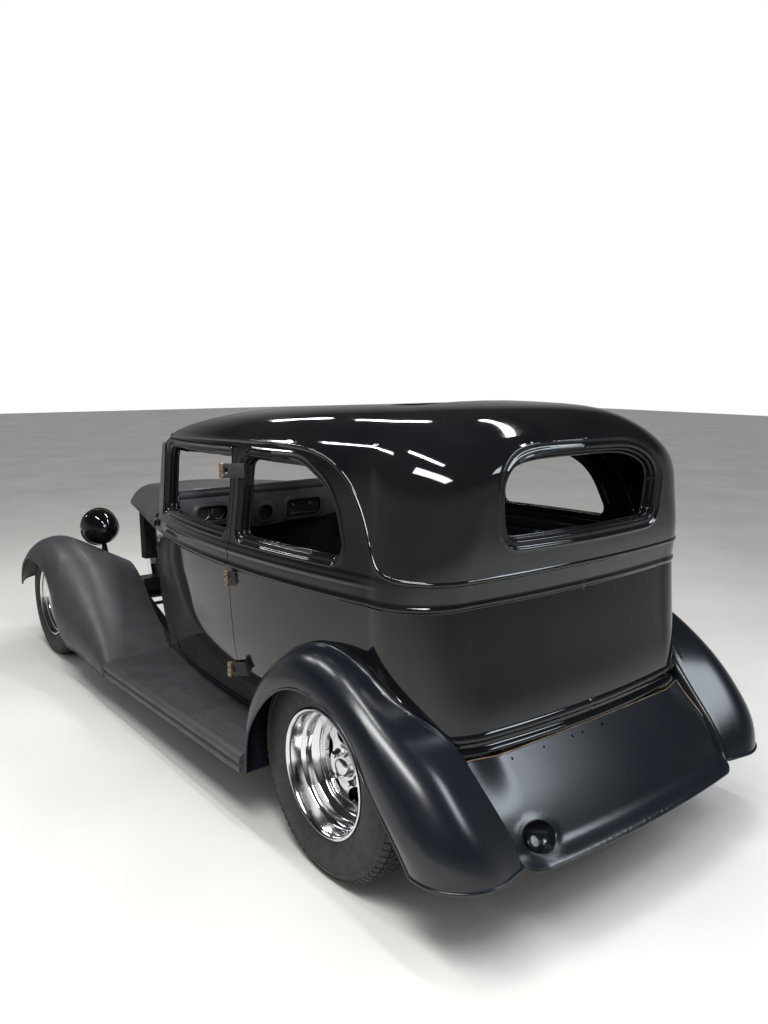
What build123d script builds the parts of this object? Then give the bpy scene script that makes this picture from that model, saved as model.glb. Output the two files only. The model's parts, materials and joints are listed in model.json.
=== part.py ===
from build123d import *
import math
import os

# A two-door sedan street rod of the early 1930s, as it stands in a workshop half built.
# Millimetres. +X forward, +Y to its left, +Z up. The origin is on the floor, under the middle of the car.
# Lengths along the car are measured from the rear axle and moved by REAR_AXLE_X at the end.
# The body and frame are drawn level. raked() then tips them nose down over the wheels.

# Stance
WHEELBASE = 2845.0
REAR_AXLE_X = -1292.0
RAKE = 1.9
FIT_GAP = 5.0
SEAT_GAP = 0.3
SHEET = 5.0

# Wheels and tyres
REAR_TYRE_R = 367.0
REAR_TYRE_W = 275.0
REAR_WHEEL_Y = 652.0
REAR_RIM_R = 218.0
REAR_RIM_W = 262.0
REAR_DISH = 118.0
FRONT_TYRE_R = 324.0
FRONT_TYRE_W = 185.0
FRONT_WHEEL_Y = 712.0
FRONT_RIM_R = 203.0
FRONT_RIM_W = 168.0
FRONT_DISH = 52.0
RIM_WALL = 9.0
WINDOW_COUNT = 5
HUB_R = 42.0

# Body shell
SILL_Z = 285.0
BELT_Z = 927.0
DRIP_Z = 1350.0
WALL = 42.0
ROOF_WALL = 32.0
DOOR_REAR_X = 640.0
HINGE_X = 620.0
HINGE_Y = 770.0
DOOR_REACH = 925.0
DOOR_BOTTOM_Z = 330.0
HINGE_PIN_R = 8.0
HINGE_BARREL_R = 12.0
HINGE_BARREL_H = 58.0
DOOR_TOP_Z = 1372.0
COWL_FRONT_X = 1722.0
SCREEN_BASE_X = COWL_FRONT_X - 80
SCREEN_TOP_X = COWL_FRONT_X - 124
SCREEN_BASE_Z = 1090.0
COWL_TO_AXLE = 1111.5


def at(x, y, z):
    """A point of the car, its length measured from the rear axle."""
    return (REAR_AXLE_X + x, y, z)


def raked(shape):
    """Tips a level body piece nose down about the origin."""
    return Rot(0, RAKE, 0) * shape


def level_hub(x, z):
    """A wheel's centre in the level lengths and heights of the body."""
    turn = math.radians(RAKE)
    forward = REAR_AXLE_X + x
    return (forward * math.cos(turn) - z * math.sin(turn) - REAR_AXLE_X,
            forward * math.sin(turn) + z * math.cos(turn))


REAR_HUB_LEVEL = level_hub(0, REAR_TYRE_R)
FRONT_HUB_LEVEL = level_hub(WHEELBASE, FRONT_TYRE_R)
NOSE_STRETCH = (FRONT_HUB_LEVEL[0] - COWL_FRONT_X) / COWL_TO_AXLE


def ahead(length):
    """A length ahead of the cowl, stretched with the wheelbase."""
    return COWL_FRONT_X + length * NOSE_STRETCH


def block(x0, x1, y0, y1, z0, z1):
    """A box between two corners, its length measured from the rear axle."""
    middle = at((x0 + x1) / 2, (y0 + y1) / 2, (z0 + z1) / 2)
    return Pos(*middle) * Box(abs(x1 - x0), abs(y1 - y0), abs(z1 - z0))


def rod(start, end, radius):
    """A round bar from one point to another."""
    axis = Vector(*end) - Vector(*start)
    plane = Plane(origin=start, z_dir=axis)
    return extrude(plane * Circle(radius), axis.length)


def side_plate(points, y0, y1):
    """A side outline of (x, z) points, carried across the car from y0 to y1."""
    face = make_face(Polyline(*[at(x, y0, z) for x, z in points], close=True))
    return extrude(face, y1 - y0, dir=(0, 1, 0))


def rounded_face(plane, corners):
    """A flat face on a plane from (x, y, radius) corners, each rounded by its radius."""
    edges = []
    last_end = None
    first_start = None
    count = len(corners)
    for i in range(count):
        x, y, radius = corners[i]
        corner = Vector(x, y, 0)
        back = (Vector(*corners[i - 1][:2], 0) - corner).normalized()
        on = (Vector(*corners[(i + 1) % count][:2], 0) - corner).normalized()
        half = math.acos(back.dot(on)) / 2
        start = corner + back * (radius / math.tan(half))
        end = corner + on * (radius / math.tan(half))
        inward = (back + on).normalized()
        middle = corner + inward * (radius / math.sin(half) - radius)
        if last_end is not None:
            edges.append(Line(last_end, start))
        else:
            first_start = start
        edges.append(ThreePointArc(start, middle, end))
        last_end = end
    edges.append(Line(last_end, first_start))
    return plane * make_face(edges)


def mirrored(shape):
    """The same piece on the other side of the car."""
    return mirror(shape, about=Plane.XZ)


# Plan outlines of the body at rising heights, for the left half: the front corner and its radius,
# the widest point of the side, the start, middle and end of the rear corner, and the tail at the centre.
# Columns: z, front_x, front_y, front_r, side_x, side_y, start_x, start_y, bend_x, bend_y, end_x, end_y, tail_x
LOWER_BODY = [
    (SILL_Z, COWL_FRONT_X, 520, 8, 700, 622, -180, 590, -400, 530, -450, 400, -482),
    (450, COWL_FRONT_X, 556, 8, 700, 700, -190, 668, -405, 600, -478, 450, -506),
    (680, COWL_FRONT_X, 579, 8, 700, 738, -200, 702, -385, 640, -452, 480, -482),
    (BELT_Z, COWL_FRONT_X, 585, 8, 700, 749, -200, 712, -368, 650, -425, 500, -457),
]
GREENHOUSE = [
    LOWER_BODY[-1],
    (1060, COWL_FRONT_X, 570, 8, 700, 735, -195, 702, -385, 640, -452, 500, -484),
    (1200, COWL_FRONT_X, 560, 8, 700, 716, -185, 684, -390, 615, -465, 460, -492),
    (DRIP_Z, COWL_FRONT_X, 548, 8, 700, 694, -150, 650, -375, 572, -455, 410, -482),
]
ROOF = [
    (DRIP_Z, SCREEN_TOP_X + 14, 556, 60, 700, 694, -150, 650, -375, 572, -455, 410, -482),
    (1400, SCREEN_TOP_X - 13, 545, 80, 690, 670, -135, 622, -340, 540, -425, 380, -458),
    (1445, 1440, 515, 110, 640, 622, -115, 575, -300, 490, -385, 340, -420),
    (1490, 1190, 440, 130, 560, 535, -85, 490, -245, 405, -325, 270, -362),
    (1515, 960, 345, 130, 460, 425, -55, 385, -180, 310, -245, 200, -282),
    (1528, 760, 220, 120, 350, 290, -20, 255, -95, 200, -135, 120, -160),
]


def plan_face(row, inset=0.0, front_inset=None, drop=0.0):
    """One plan outline as a face, drawn in by the thickness of the wall."""
    z, fx, fy, fr, sx, sy, ax, ay, bx, by, ex, ey, tx = row
    front = inset if front_inset is None else front_inset
    nose = [
        (fx - front, fy - fr - inset),
        (fx - front - 0.29 * fr, fy - 0.29 * fr - inset),
        (fx - front - fr, fy - inset),
    ]
    side = (sx, sy - inset)
    corner = [
        (ax, ay - inset),
        (bx + 0.72 * inset, by - 0.7 * inset),
        (ex + 0.95 * inset, ey - 0.3 * inset),
    ]
    tail = (tx + inset, 0)
    left = [at(x, y, z - drop) for x, y in nose + [side] + corner]
    right = [(x, -y, z) for x, y, z in left]
    edges = [
        ThreePointArc(left[0], left[1], left[2]),
        ThreePointArc(left[2], left[3], left[4]),
        ThreePointArc(left[4], left[5], left[6]),
        ThreePointArc(left[6], at(tail[0], 0, z - drop), right[6]),
        ThreePointArc(right[6], right[5], right[4]),
        ThreePointArc(right[4], right[3], right[2]),
        ThreePointArc(right[2], right[1], right[0]),
        Line(right[0], left[0]),
    ]
    return make_face(edges)


def hull_of(rows, inset=0.0, front_inset=None, drop=0.0):
    """The solid through a table of plan outlines."""
    return loft([plan_face(row, inset, front_inset, drop) for row in rows])


def row_at(z):
    """The body's plan outline at any height between two of the table's rows."""
    rows = LOWER_BODY + GREENHOUSE[1:]
    for low, high in zip(rows, rows[1:]):
        if low[0] <= z <= high[0]:
            share = (z - low[0]) / (high[0] - low[0])
            return tuple(a + (b - a) * share for a, b in zip(low, high))


def side_window(corners):
    """A window opening through the left side of the body from (x, z, radius) corners."""
    plane = Plane(origin=at(0, 450, 0), x_dir=(1, 0, 0), z_dir=(0, -1, 0))
    return extrude(rounded_face(plane, corners), -450)


# The whole shell, before it is split at its real joints
open_front = -60.0
lower_shell = hull_of(LOWER_BODY) - hull_of(LOWER_BODY, WALL, open_front)
upper_shell = hull_of(GREENHOUSE) - hull_of(GREENHOUSE, WALL, open_front)
whole_shell = lower_shell + upper_shell

# Raised beads round the belt. Columns: height, half height at the foot, rise. The foot is sunk in the wall.
BELT_BEADS = [(BELT_Z, 12, 6), (983, 10, 5)]
BEAD_SINK = 2.0
core = hull_of(LOWER_BODY, WALL / 2, open_front) + hull_of(GREENHOUSE, WALL / 2, open_front)
for z, half, rise in BELT_BEADS:
    bead = loft([plan_face(row_at(z - half), BEAD_SINK, 0), plan_face(row_at(z), -rise, 0),
                 plan_face(row_at(z + half), BEAD_SINK, 0)], ruled=True)
    whole_shell = whole_shell + (bead - core)

# The hood and cowl share one arched cross-section at the cowl's front edge.
# Columns: side_y, side_z, shoulder_y, shoulder_z, crest_z
COWL_ARCH = (640.0, 960.0, 400.0, 1072.0, 1092.0)


def arch_face(x, arch, inset=0.0, floor_z=200.0):
    """An arched cross-section standing across the car at x, down to floor_z."""
    side_y, side_z, shoulder_y, shoulder_z, crest_z = arch
    left = [
        at(x, side_y - inset, floor_z),
        at(x, side_y - inset, side_z - inset * 0.5),
        at(x, shoulder_y - inset * 0.3, shoulder_z - inset),
    ]
    right = [(px, -y, z) for px, y, z in left]
    edges = [
        Line(left[0], left[1]),
        Line(left[1], left[2]),
        ThreePointArc(left[2], at(x, 0, crest_z - inset), right[2]),
        Line(right[2], right[1]),
        Line(right[1], right[0]),
        Line(right[0], left[0]),
    ]
    return make_face(edges)


def hinge_cylinder(side, radius, z0, z1):
    """The drum that a door's front edge sweeps about its hinges."""
    return Pos(*at(HINGE_X, side * HINGE_Y, (z0 + z1) / 2)) * Cylinder(radius, z1 - z0)


# Everything above the arch and ahead of the sloping windscreen is cut off the shell.
screen_cut = side_plate(
    [(SCREEN_BASE_X, 850), (SCREEN_BASE_X, SCREEN_BASE_Z), (SCREEN_TOP_X, DRIP_Z),
     (SCREEN_TOP_X - 8, 1400), (COWL_FRONT_X + 178, 1400), (COWL_FRONT_X + 178, 850)], -700, 700)
cowl_hood_space = extrude(arch_face(SCREEN_BASE_X - 1, COWL_ARCH), 200, dir=(1, 0, 0))
screen_cut = screen_cut - cowl_hood_space
body_shell = whole_shell - screen_cut

# The outside of the body as one block, grown by a seat gap, that trims what is bolted to it
body_block = hull_of(LOWER_BODY, -SEAT_GAP) + hull_of(GREENHOUSE, -SEAT_GAP)

# Doors. Each reaches up to a seam under the roof's drip line.
roof_shell = hull_of(ROOF) - hull_of(ROOF, ROOF_WALL, None, ROOF_WALL)
DOOR_WINDOW = [(1500, 1046, 30), (1478, 1346, 60), (700, 1350, 34), (700, 1046, 26)]
door_space = block(DOOR_REAR_X + FIT_GAP, 1800, 300, 900, DOOR_BOTTOM_Z, DOOR_TOP_Z)
door_space = door_space & hinge_cylinder(1, DOOR_REACH, DOOR_BOTTOM_Z, DOOR_TOP_Z)
door_left = (body_shell & door_space) + (roof_shell & door_space) - side_window(DOOR_WINDOW)
door_hinge_heights = (520.0, 880.0, 1290.0)


def hinge_barrel(side, z):
    """The door's half of an outside hinge: an eye on the pin and a leaf out from the door."""
    eye = Pos(*at(HINGE_X, side * HINGE_Y, z)) * Cylinder(HINGE_BARREL_R, HINGE_BARREL_H / 3)
    bore = Pos(*at(HINGE_X, side * HINGE_Y, z)) * Cylinder(HINGE_PIN_R + SEAT_GAP, HINGE_BARREL_H)
    return eye - bore


def hinge_arm(x_end, y_end, z, side, height):
    """A flat arm from the hinge axis to the body."""
    start = Vector(*at(HINGE_X, side * HINGE_Y, z))
    end = Vector(*at(x_end, side * y_end, z))
    run = end - start
    middle = (start + end) * 0.5
    turn = math.degrees(math.atan2(run.Y, run.X))
    return Pos(middle.X, middle.Y, z) * Rot(0, 0, turn) * Box(run.length, 10, height)


def side_y_at(z):
    """How far out the side of the body stands near the door's rear edge."""
    heights = [row[0] for row in LOWER_BODY] + [row[0] for row in GREENHOUSE[1:]]
    widths = [row[5] for row in LOWER_BODY] + [row[5] for row in GREENHOUSE[1:]]
    for low, high, inner, outer in zip(heights, heights[1:], widths, widths[1:]):
        if low <= z <= high:
            return inner + (outer - inner) * (z - low) / (high - low)
    return widths[-1]


def door_hinges(side):
    """The door's leaves, one at each hinge height."""
    leaves = []
    for z in door_hinge_heights:
        arm = hinge_arm(DOOR_REAR_X + 42, side_y_at(z) - 14, z, side, HINGE_BARREL_H / 3)
        gap = Pos(*at(HINGE_X, side * HINGE_Y, z)) * Cylinder(HINGE_PIN_R + SEAT_GAP, 90)
        leaves.append(arm - gap + hinge_barrel(side, z))
    return leaves


def body_hinges(side):
    """The pins and the body's leaves, two eyes on each pin."""
    pieces = []
    for z in door_hinge_heights:
        pin = Pos(*at(HINGE_X, side * HINGE_Y, z)) * Cylinder(HINGE_PIN_R, HINGE_BARREL_H)
        for step in (-1, 1):
            level = z + step * (HINGE_BARREL_H / 3 + SEAT_GAP)
            eye = Pos(*at(HINGE_X, side * HINGE_Y, level)) * Cylinder(HINGE_BARREL_R, HINGE_BARREL_H / 3)
            arm = hinge_arm(DOOR_REAR_X - 48, side_y_at(z) - 12, level, side, HINGE_BARREL_H / 3)
            pin = pin + eye + (arm - body_block)
        pieces.append(pin)
    return pieces


nodes = {}


def keep(name, shape):
    nodes[name] = shape


for leaf in door_hinges(1):
    door_left = door_left + leaf
keep("door_left", raked(door_left))
keep("door_right", raked(mirrored(door_left)))

hinge_pieces = body_hinges(1)
keep("door_hinge_pins", raked(Compound(hinge_pieces + [mirrored(p) for p in hinge_pieces])))

# Cowl: the body ahead of the doors, with the windscreen posts
cowl = body_shell & block(1300, COWL_FRONT_X + 60, -700, 700, SILL_Z, DRIP_Z)
for side in (1, -1):
    cowl = cowl - hinge_cylinder(side, DOOR_REACH + FIT_GAP, DOOR_BOTTOM_Z - FIT_GAP, DRIP_Z + 1)
cowl = cowl - block(1200, HINGE_X + DOOR_REACH - 85, -700, 700, SILL_Z - 1, DRIP_Z + 1)
cowl_top = extrude(arch_face(SCREEN_BASE_X, COWL_ARCH), COWL_FRONT_X - SCREEN_BASE_X, dir=(1, 0, 0))
cowl_top = cowl_top - extrude(arch_face(SCREEN_BASE_X - 5, COWL_ARCH, 28), 200, dir=(1, 0, 0))
cowl_top = cowl_top & hull_of(GREENHOUSE)
hood_axis_z = COWL_ARCH[4]
hood_pin_x = COWL_FRONT_X + FIT_GAP / 2
hood_eye_space = block(COWL_FRONT_X - 9, COWL_FRONT_X + 1, -31, 31, hood_axis_z - 12, hood_axis_z + 9)
cowl = cowl + cowl_top - hood_eye_space
cowl = cowl + block(COWL_FRONT_X - 12, hood_pin_x, -12, 12, hood_axis_z - 4, hood_axis_z + 3)
hood_eye_spot = Pos(*at(hood_pin_x, 0, hood_axis_z)) * Rot(90, 0, 0)
cowl = cowl + hood_eye_spot * Cylinder(6, 24) + hood_eye_spot * Cylinder(3, 62)
keep("cowl", raked(cowl))

# Quarter panels and tail
ARCH_R = REAR_TYRE_R + 40
wheel_well = Pos(*at(REAR_HUB_LEVEL[0], 0, REAR_HUB_LEVEL[1])) * Rot(90, 0, 0) * Cylinder(ARCH_R, 1700)
TAIL_SPLIT_Y = 470.0
ROLL_Z = 462.0
rear_lower_cut = block(-700, 240, -800, 800, SILL_Z - 5, ROLL_Z)
rear_body = body_shell & block(-700, DOOR_REAR_X, -800, 800, SILL_Z, DRIP_Z)
rear_body = rear_body - rear_lower_cut - wheel_well
quarter_left = rear_body & block(-700, DOOR_REAR_X, TAIL_SPLIT_Y, 800, SILL_Z, DRIP_Z)
QUARTER_WINDOW = [(583, 1046, 26), (583, 1343, 30), (215, 1340, 200), (20, 1252, 180), (-66, 1046, 40)]
quarter_left = quarter_left - side_window(QUARTER_WINDOW)
keep("quarter_panel_left", raked(quarter_left))
keep("quarter_panel_right", raked(mirrored(quarter_left)))

tail_panel = rear_body & block(-700, 100, -TAIL_SPLIT_Y, TAIL_SPLIT_Y, SILL_Z, DRIP_Z)
REAR_WINDOW = [(376, 1113, 45), (394, 1389, 130), (-394, 1389, 130), (-376, 1113, 45)]
window_plane = Plane(origin=at(-300, 0, 0), x_dir=(0, 1, 0), z_dir=(1, 0, 0))
rear_window = extrude(rounded_face(window_plane, REAR_WINDOW), -300)
tail_panel = tail_panel - rear_window
keep("tail_panel", raked(tail_panel))

# Wheel tubs between the quarter panels and the floor
TUB_Y = 484.0
TUB_SHEET = 4.0
tub_roll = Pos(*at(REAR_HUB_LEVEL[0], (TUB_Y + 760) / 2, REAR_HUB_LEVEL[1])) * Rot(90, 0, 0)
wheel_tub = tub_roll * Cylinder(ARCH_R - SEAT_GAP, 760 - TUB_Y)
wheel_tub = wheel_tub - Pos(0, TUB_SHEET, 0) * tub_roll * Cylinder(ARCH_R - SEAT_GAP - TUB_SHEET, 760 - TUB_Y)
wheel_tub = wheel_tub & block(-500, 500, TUB_Y, 760, ROLL_Z + 20, 900) & hull_of(LOWER_BODY, 3)
keep("wheel_tubs", raked(Compound([wheel_tub, mirrored(wheel_tub)])))

# Roof
roof_opening = Pos(*at(560, 0, 1500)) * extrude(RectangleRounded(1080, 640, 60), 120, both=True)
roof_panel = roof_shell - roof_opening - rear_window
door_head = block(DOOR_REAR_X, 1800, 300, 900, DRIP_Z - 1, DOOR_TOP_Z + FIT_GAP)
door_head = door_head & hinge_cylinder(1, DOOR_REACH + FIT_GAP, DRIP_Z - 1, DOOR_TOP_Z + FIT_GAP)
roof_panel = roof_panel - door_head - mirrored(door_head)
keep("roof_panel", raked(roof_panel))

# Floor with its sills, gearbox tunnel, heel board and raised rear floor
FLOOR_Z = 300.0
BASE_PAD_Z = 318.0
FLOOR_SHEET = 14.0
FLOOR_FRONT_X = COWL_FRONT_X - 62
HEEL_X = 500.0
REAR_FLOOR_Z = 520.0
TUNNEL_Z = 380.0
TUNNEL_R = 122.0
FLOOR_HALF_Y = TUB_Y - SEAT_GAP
inside_body = hull_of(LOWER_BODY, WALL + 4)
front_floor = inside_body & block(HEEL_X, FLOOR_FRONT_X, -800, 800, FLOOR_Z, FLOOR_Z + FLOOR_SHEET)
rear_floor = inside_body & block(-460, HEEL_X, -FLOOR_HALF_Y, FLOOR_HALF_Y, REAR_FLOOR_Z, REAR_FLOOR_Z + FLOOR_SHEET)
heel_board = block(HEEL_X, HEEL_X + FLOOR_SHEET, -FLOOR_HALF_Y, FLOOR_HALF_Y, FLOOR_Z, REAR_FLOOR_Z + FLOOR_SHEET)
tunnel_line = Pos(*at((HEEL_X + FLOOR_FRONT_X) / 2, 0, TUNNEL_Z)) * Rot(0, 90, 0)
tunnel = tunnel_line * Cylinder(TUNNEL_R + FLOOR_SHEET, FLOOR_FRONT_X - HEEL_X)
tunnel = tunnel + block(HEEL_X, FLOOR_FRONT_X, -TUNNEL_R - FLOOR_SHEET, TUNNEL_R + FLOOR_SHEET, FLOOR_Z, TUNNEL_Z)
tunnel = tunnel & block(HEEL_X, FLOOR_FRONT_X, -300, 300, FLOOR_Z, 700)
tunnel_space = tunnel_line * Cylinder(TUNNEL_R, FLOOR_FRONT_X - HEEL_X + 140)
tunnel_space = tunnel_space + block(HEEL_X - 60, FLOOR_FRONT_X + 40, -TUNNEL_R, TUNNEL_R, FLOOR_Z - 50, TUNNEL_Z)
sills = body_shell & block(DOOR_REAR_X + 1, 1500, -800, 800, SILL_Z, DOOR_BOTTOM_Z - FIT_GAP)
sills = sills - cowl
sill_foot = hull_of(LOWER_BODY, WALL - 1) & block(DOOR_REAR_X + 1, 1450, -800, 800, FLOOR_Z, FLOOR_Z + FLOOR_SHEET)
floor_pan = front_floor + sill_foot + sills + rear_floor + heel_board + tunnel - tunnel_space
for side in (1, -1):
    # A low pad on which the base of a front seat is bolted down
    floor_pan = floor_pan + block(700, 1060, side * 230, side * 430, FLOOR_Z + FLOOR_SHEET - 2, BASE_PAD_Z)
keep("floor_pan", raked(floor_pan))

firewall = extrude(arch_face(COWL_FRONT_X - 32, COWL_ARCH, 30, FLOOR_Z), 8, dir=(1, 0, 0))
inside_front = hull_of(LOWER_BODY, WALL + 1, open_front) + hull_of(GREENHOUSE, WALL + 1, open_front)
firewall = (firewall & inside_front) - block(FLOOR_FRONT_X - 60, COWL_FRONT_X + 78, -TUNNEL_R, TUNNEL_R, FLOOR_Z - 50, TUNNEL_Z + TUNNEL_R)
keep("firewall", raked(firewall))

# Dashboard: a curved face under a padded roll that runs forward to the windscreen's foot
DASH_X = COWL_FRONT_X - 240
dash_edges = [
    ThreePointArc(at(DASH_X + 12, -600, 945), at(DASH_X, -600, 1010), at(DASH_X + 2, -600, 1082)),
    ThreePointArc(at(DASH_X + 2, -600, 1082), at(DASH_X + 20, -600, 1122), at(DASH_X + 62, -600, 1118)),
    Line(at(DASH_X + 62, -600, 1118), at(SCREEN_BASE_X, -600, 1086)),
    Line(at(SCREEN_BASE_X, -600, 1086), at(SCREEN_BASE_X, -600, 1066)),
    Line(at(SCREEN_BASE_X, -600, 1066), at(DASH_X + 44, -600, 1094)),
    ThreePointArc(at(DASH_X + 44, -600, 1094), at(DASH_X + 21, -600, 1070), at(DASH_X + 24, -600, 945)),
    Line(at(DASH_X + 24, -600, 945), at(DASH_X + 12, -600, 945)),
]
dash = extrude(make_face(dash_edges), 1200, dir=(0, 1, 0))
dash = dash & hull_of(GREENHOUSE, WALL + 8, open_front)
gauge_hole = Pos(*at(DASH_X, 290, 1012)) * Rot(0, 90, 0) * extrude(Ellipse(45, 95), 60, both=True)
radio_hole = Pos(*at(DASH_X, 0, 1000)) * Rot(0, 90, 0) * extrude(RectangleRounded(54, 180, 10), 60, both=True)
vent_hole = Pos(*at(DASH_X, -250, 1005)) * Rot(0, 90, 0) * Cylinder(30, 120)
dashboard = dash - gauge_hole - radio_hole - vent_hole
keep("dashboard", raked(dashboard))

# Hood top
HOOD_FRONT_X = ahead(984)
HOOD_FRONT_ARCH = (318.0, 945.0, 210.0, 1005.0, 1030.0)
HOOD_LOW_Z = 927.0
HOOD_SHEET = 6.0


def hood_shape(inset):
    """The hood between its two arches, drawn in by inset."""
    rear = (590.0, 960.0, 400.0, 1072.0, 1092.0)
    sections = [
        arch_face(COWL_FRONT_X + FIT_GAP, rear, inset, HOOD_LOW_Z),
        arch_face(HOOD_FRONT_X, HOOD_FRONT_ARCH, inset, HOOD_LOW_Z),
    ]
    return loft(sections, ruled=True)


hood_inner = hood_shape(HOOD_SHEET)
hood = hood_shape(0) - hood_inner
hood = hood - block(COWL_FRONT_X, HOOD_FRONT_X + 5, -570, 570, 900, HOOD_LOW_Z)
hood_eyes = hood_eye_spot * (Cylinder(6, 60) - Cylinder(7, 24 + 2 * SEAT_GAP))
hood_leaves = block(hood_pin_x, COWL_FRONT_X + 16, -30, 30, hood_axis_z - 4, hood_axis_z + 3)
cowl_eye_space = block(hood_pin_x - 1, hood_pin_x + 8, -12.3, 12.3, 1000, 1200)
hood = hood + hood_leaves - cowl_eye_space + hood_eyes - hood_eye_spot * Cylinder(3 + SEAT_GAP, 90)
keep("hood", raked(hood))

# Fenders. Each station stands on a plane across the car, turned about the wheel's centre, and gives the
# inner edge, the start of the crown, a point on the shoulder and the lip, as (y, distance) pairs.


def station(origin, direction, pairs, sheet):
    """A thin closed section of a fender: its outside and, one sheet in, its inside."""
    out = Vector(*origin)
    up = Vector(*direction).normalized()
    (yi, ri), (yt, rt), (yv, rv), (yl, rl) = pairs

    def spot(y, r):
        return out + up * r + Vector(0, y, 0)

    outer = [spot(yi, ri), spot(yt, rt), spot(yv, rv), spot(yl, rl)]
    inner = [
        spot(yi, ri - sheet),
        spot(yt, rt - sheet),
        spot(yv - 0.75 * sheet, rv - 0.75 * sheet),
        spot(yl - sheet, rl),
    ]
    edges = [
        Line(outer[0], outer[1]),
        ThreePointArc(outer[1], outer[2], outer[3]),
        Line(outer[3], inner[3]),
        ThreePointArc(inner[3], inner[2], inner[1]),
        Line(inner[1], inner[0]),
        Line(inner[0], outer[0]),
    ]
    return make_face(edges)


# Columns: angle from the nose, inner y and r, crown y and r, shoulder y and r, lip y and r
REAR_FENDER = [
    (-16, 600, 399, 790, 399, 842, 394, 860, 384),
    (8, 620, 402, 785, 402, 842, 388, 860, 346),
    (30, 660, 412, 780, 411, 842, 380, 860, 312),
    (60, 700, 422, 770, 416, 838, 375, 860, 300),
    (90, 705, 436, 765, 425, 835, 385, 860, 309),
    (120, 680, 418, 762, 425, 836, 395, 860, 333),
    (142, 630, 446, 750, 457, 836, 430, 860, 357),
    (158, 590, 492, 735, 528, 834, 485, 860, 372),
    (172, 574, 562, 715, 612, 830, 555, 858, 418),
    (183, 562, 655, 690, 690, 812, 630, 846, 475),
]
TAIL_EDGE_Z = 220.0
sections = []
for angle, yi, ri, yt, rt, yv, rv, yl, rl in REAR_FENDER:
    turn = math.radians(angle)
    origin = at(REAR_HUB_LEVEL[0], 0, REAR_HUB_LEVEL[1])
    direction = (math.cos(turn), 0, math.sin(turn))
    sections.append(station(origin, direction, [(yi, ri), (yt, rt), (yv, rv), (yl, rl)], SHEET))
sections.append(station(
    at(0, 0, TAIL_EDGE_Z), (-1, 0, 0), [(558, 700), (665, 722), (790, 664), (828, 520)], SHEET))
tail_space = block(-800, 240, -900, 900, SILL_Z - 20, ROLL_Z)
rear_fender = loft(sections) - (body_block - tail_space)
keep("rear_fender_left", raked(rear_fender))
keep("rear_fender_right", raked(mirrored(rear_fender)))

# Columns: angle from the nose, then as above. These turn about the front wheel.
FRONT_FENDER_NOSE = [
    (10, 400, 380, 660, 455, 802, 428, 860, 336),
    (35, 340, 270, 655, 404, 822, 381, 873, 303),
    (62, 306, 196, 635, 374, 824, 354, 878, 283),
]
# Columns: length ahead of the cowl, inner y and z, crown y and z, shoulder y and z, lip y and z
FRONT_FENDER_TAIL = [
    (1112, 302, 550, 632, 736, 822, 720, 878, 636),
    (968, 335, 556, 632, 720, 820, 704, 879, 618),
    (828, 362, 537, 640, 676, 818, 644, 877, 520),
    (753, 376, 516, 652, 642, 820, 590, 870, 345),
    (673, 390, 490, 668, 596, 822, 535, 866, 250),
    (478, 435, 432, 716, 478, 834, 420, 866, 232),
    (258, 482, 376, 770, 372, 846, 330, 868, 214),
    (50, 522, 284.7, 815, 277, 858, 268, 870, 206),
]
sections = []
for angle, yi, ri, yt, rt, yv, rv, yl, rl in FRONT_FENDER_NOSE:
    turn = math.radians(angle)
    origin = at(FRONT_HUB_LEVEL[0], 0, FRONT_HUB_LEVEL[1])
    direction = (math.cos(turn), 0, math.sin(turn))
    sections.append(station(origin, direction, [(yi, ri), (yt, rt), (yv, rv), (yl, rl)], SHEET))
for length, yi, zi, yt, zt, yv, zv, yl, zl in FRONT_FENDER_TAIL:
    sections.append(station(at(ahead(length), 0, 0), (0, 0, 1), [(yi, zi), (yt, zt), (yv, zv), (yl, zl)], SHEET))
front_fender = loft(sections)
keep("front_fender_left", raked(front_fender))
keep("front_fender_right", raked(mirrored(front_fender)))

# Running boards
BOARD_FRONT_X = ahead(50)
BOARD_REAR_X = 389.0
BOARD_Z = SILL_Z - SEAT_GAP
BOARD_SHEET = 8.0
BOARD_OUT_Y = 870.0
board_profile = [
    (522, BOARD_Z), (BOARD_OUT_Y - 20, BOARD_Z - 9), (BOARD_OUT_Y - 2, BOARD_Z - 24),
    (BOARD_OUT_Y, BOARD_Z - 79), (BOARD_OUT_Y - 6, BOARD_Z - 79), (BOARD_OUT_Y - 10, BOARD_Z - 29),
    (BOARD_OUT_Y - 22, BOARD_Z - 9 - BOARD_SHEET), (522, BOARD_Z - BOARD_SHEET)]
board_face = make_face(Polyline(*[at(BOARD_FRONT_X, y, z) for y, z in board_profile], close=True))
running_board = extrude(board_face, BOARD_FRONT_X - BOARD_REAR_X, dir=(-1, 0, 0))
keep("running_boards", raked(Compound([running_board, mirrored(running_board)])))

# Tank cover between the rear fenders, and the fuel tank under the frame's last crossmember
TANK_TOP_Z = 380.0
COVER_Y = 548.0
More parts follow.
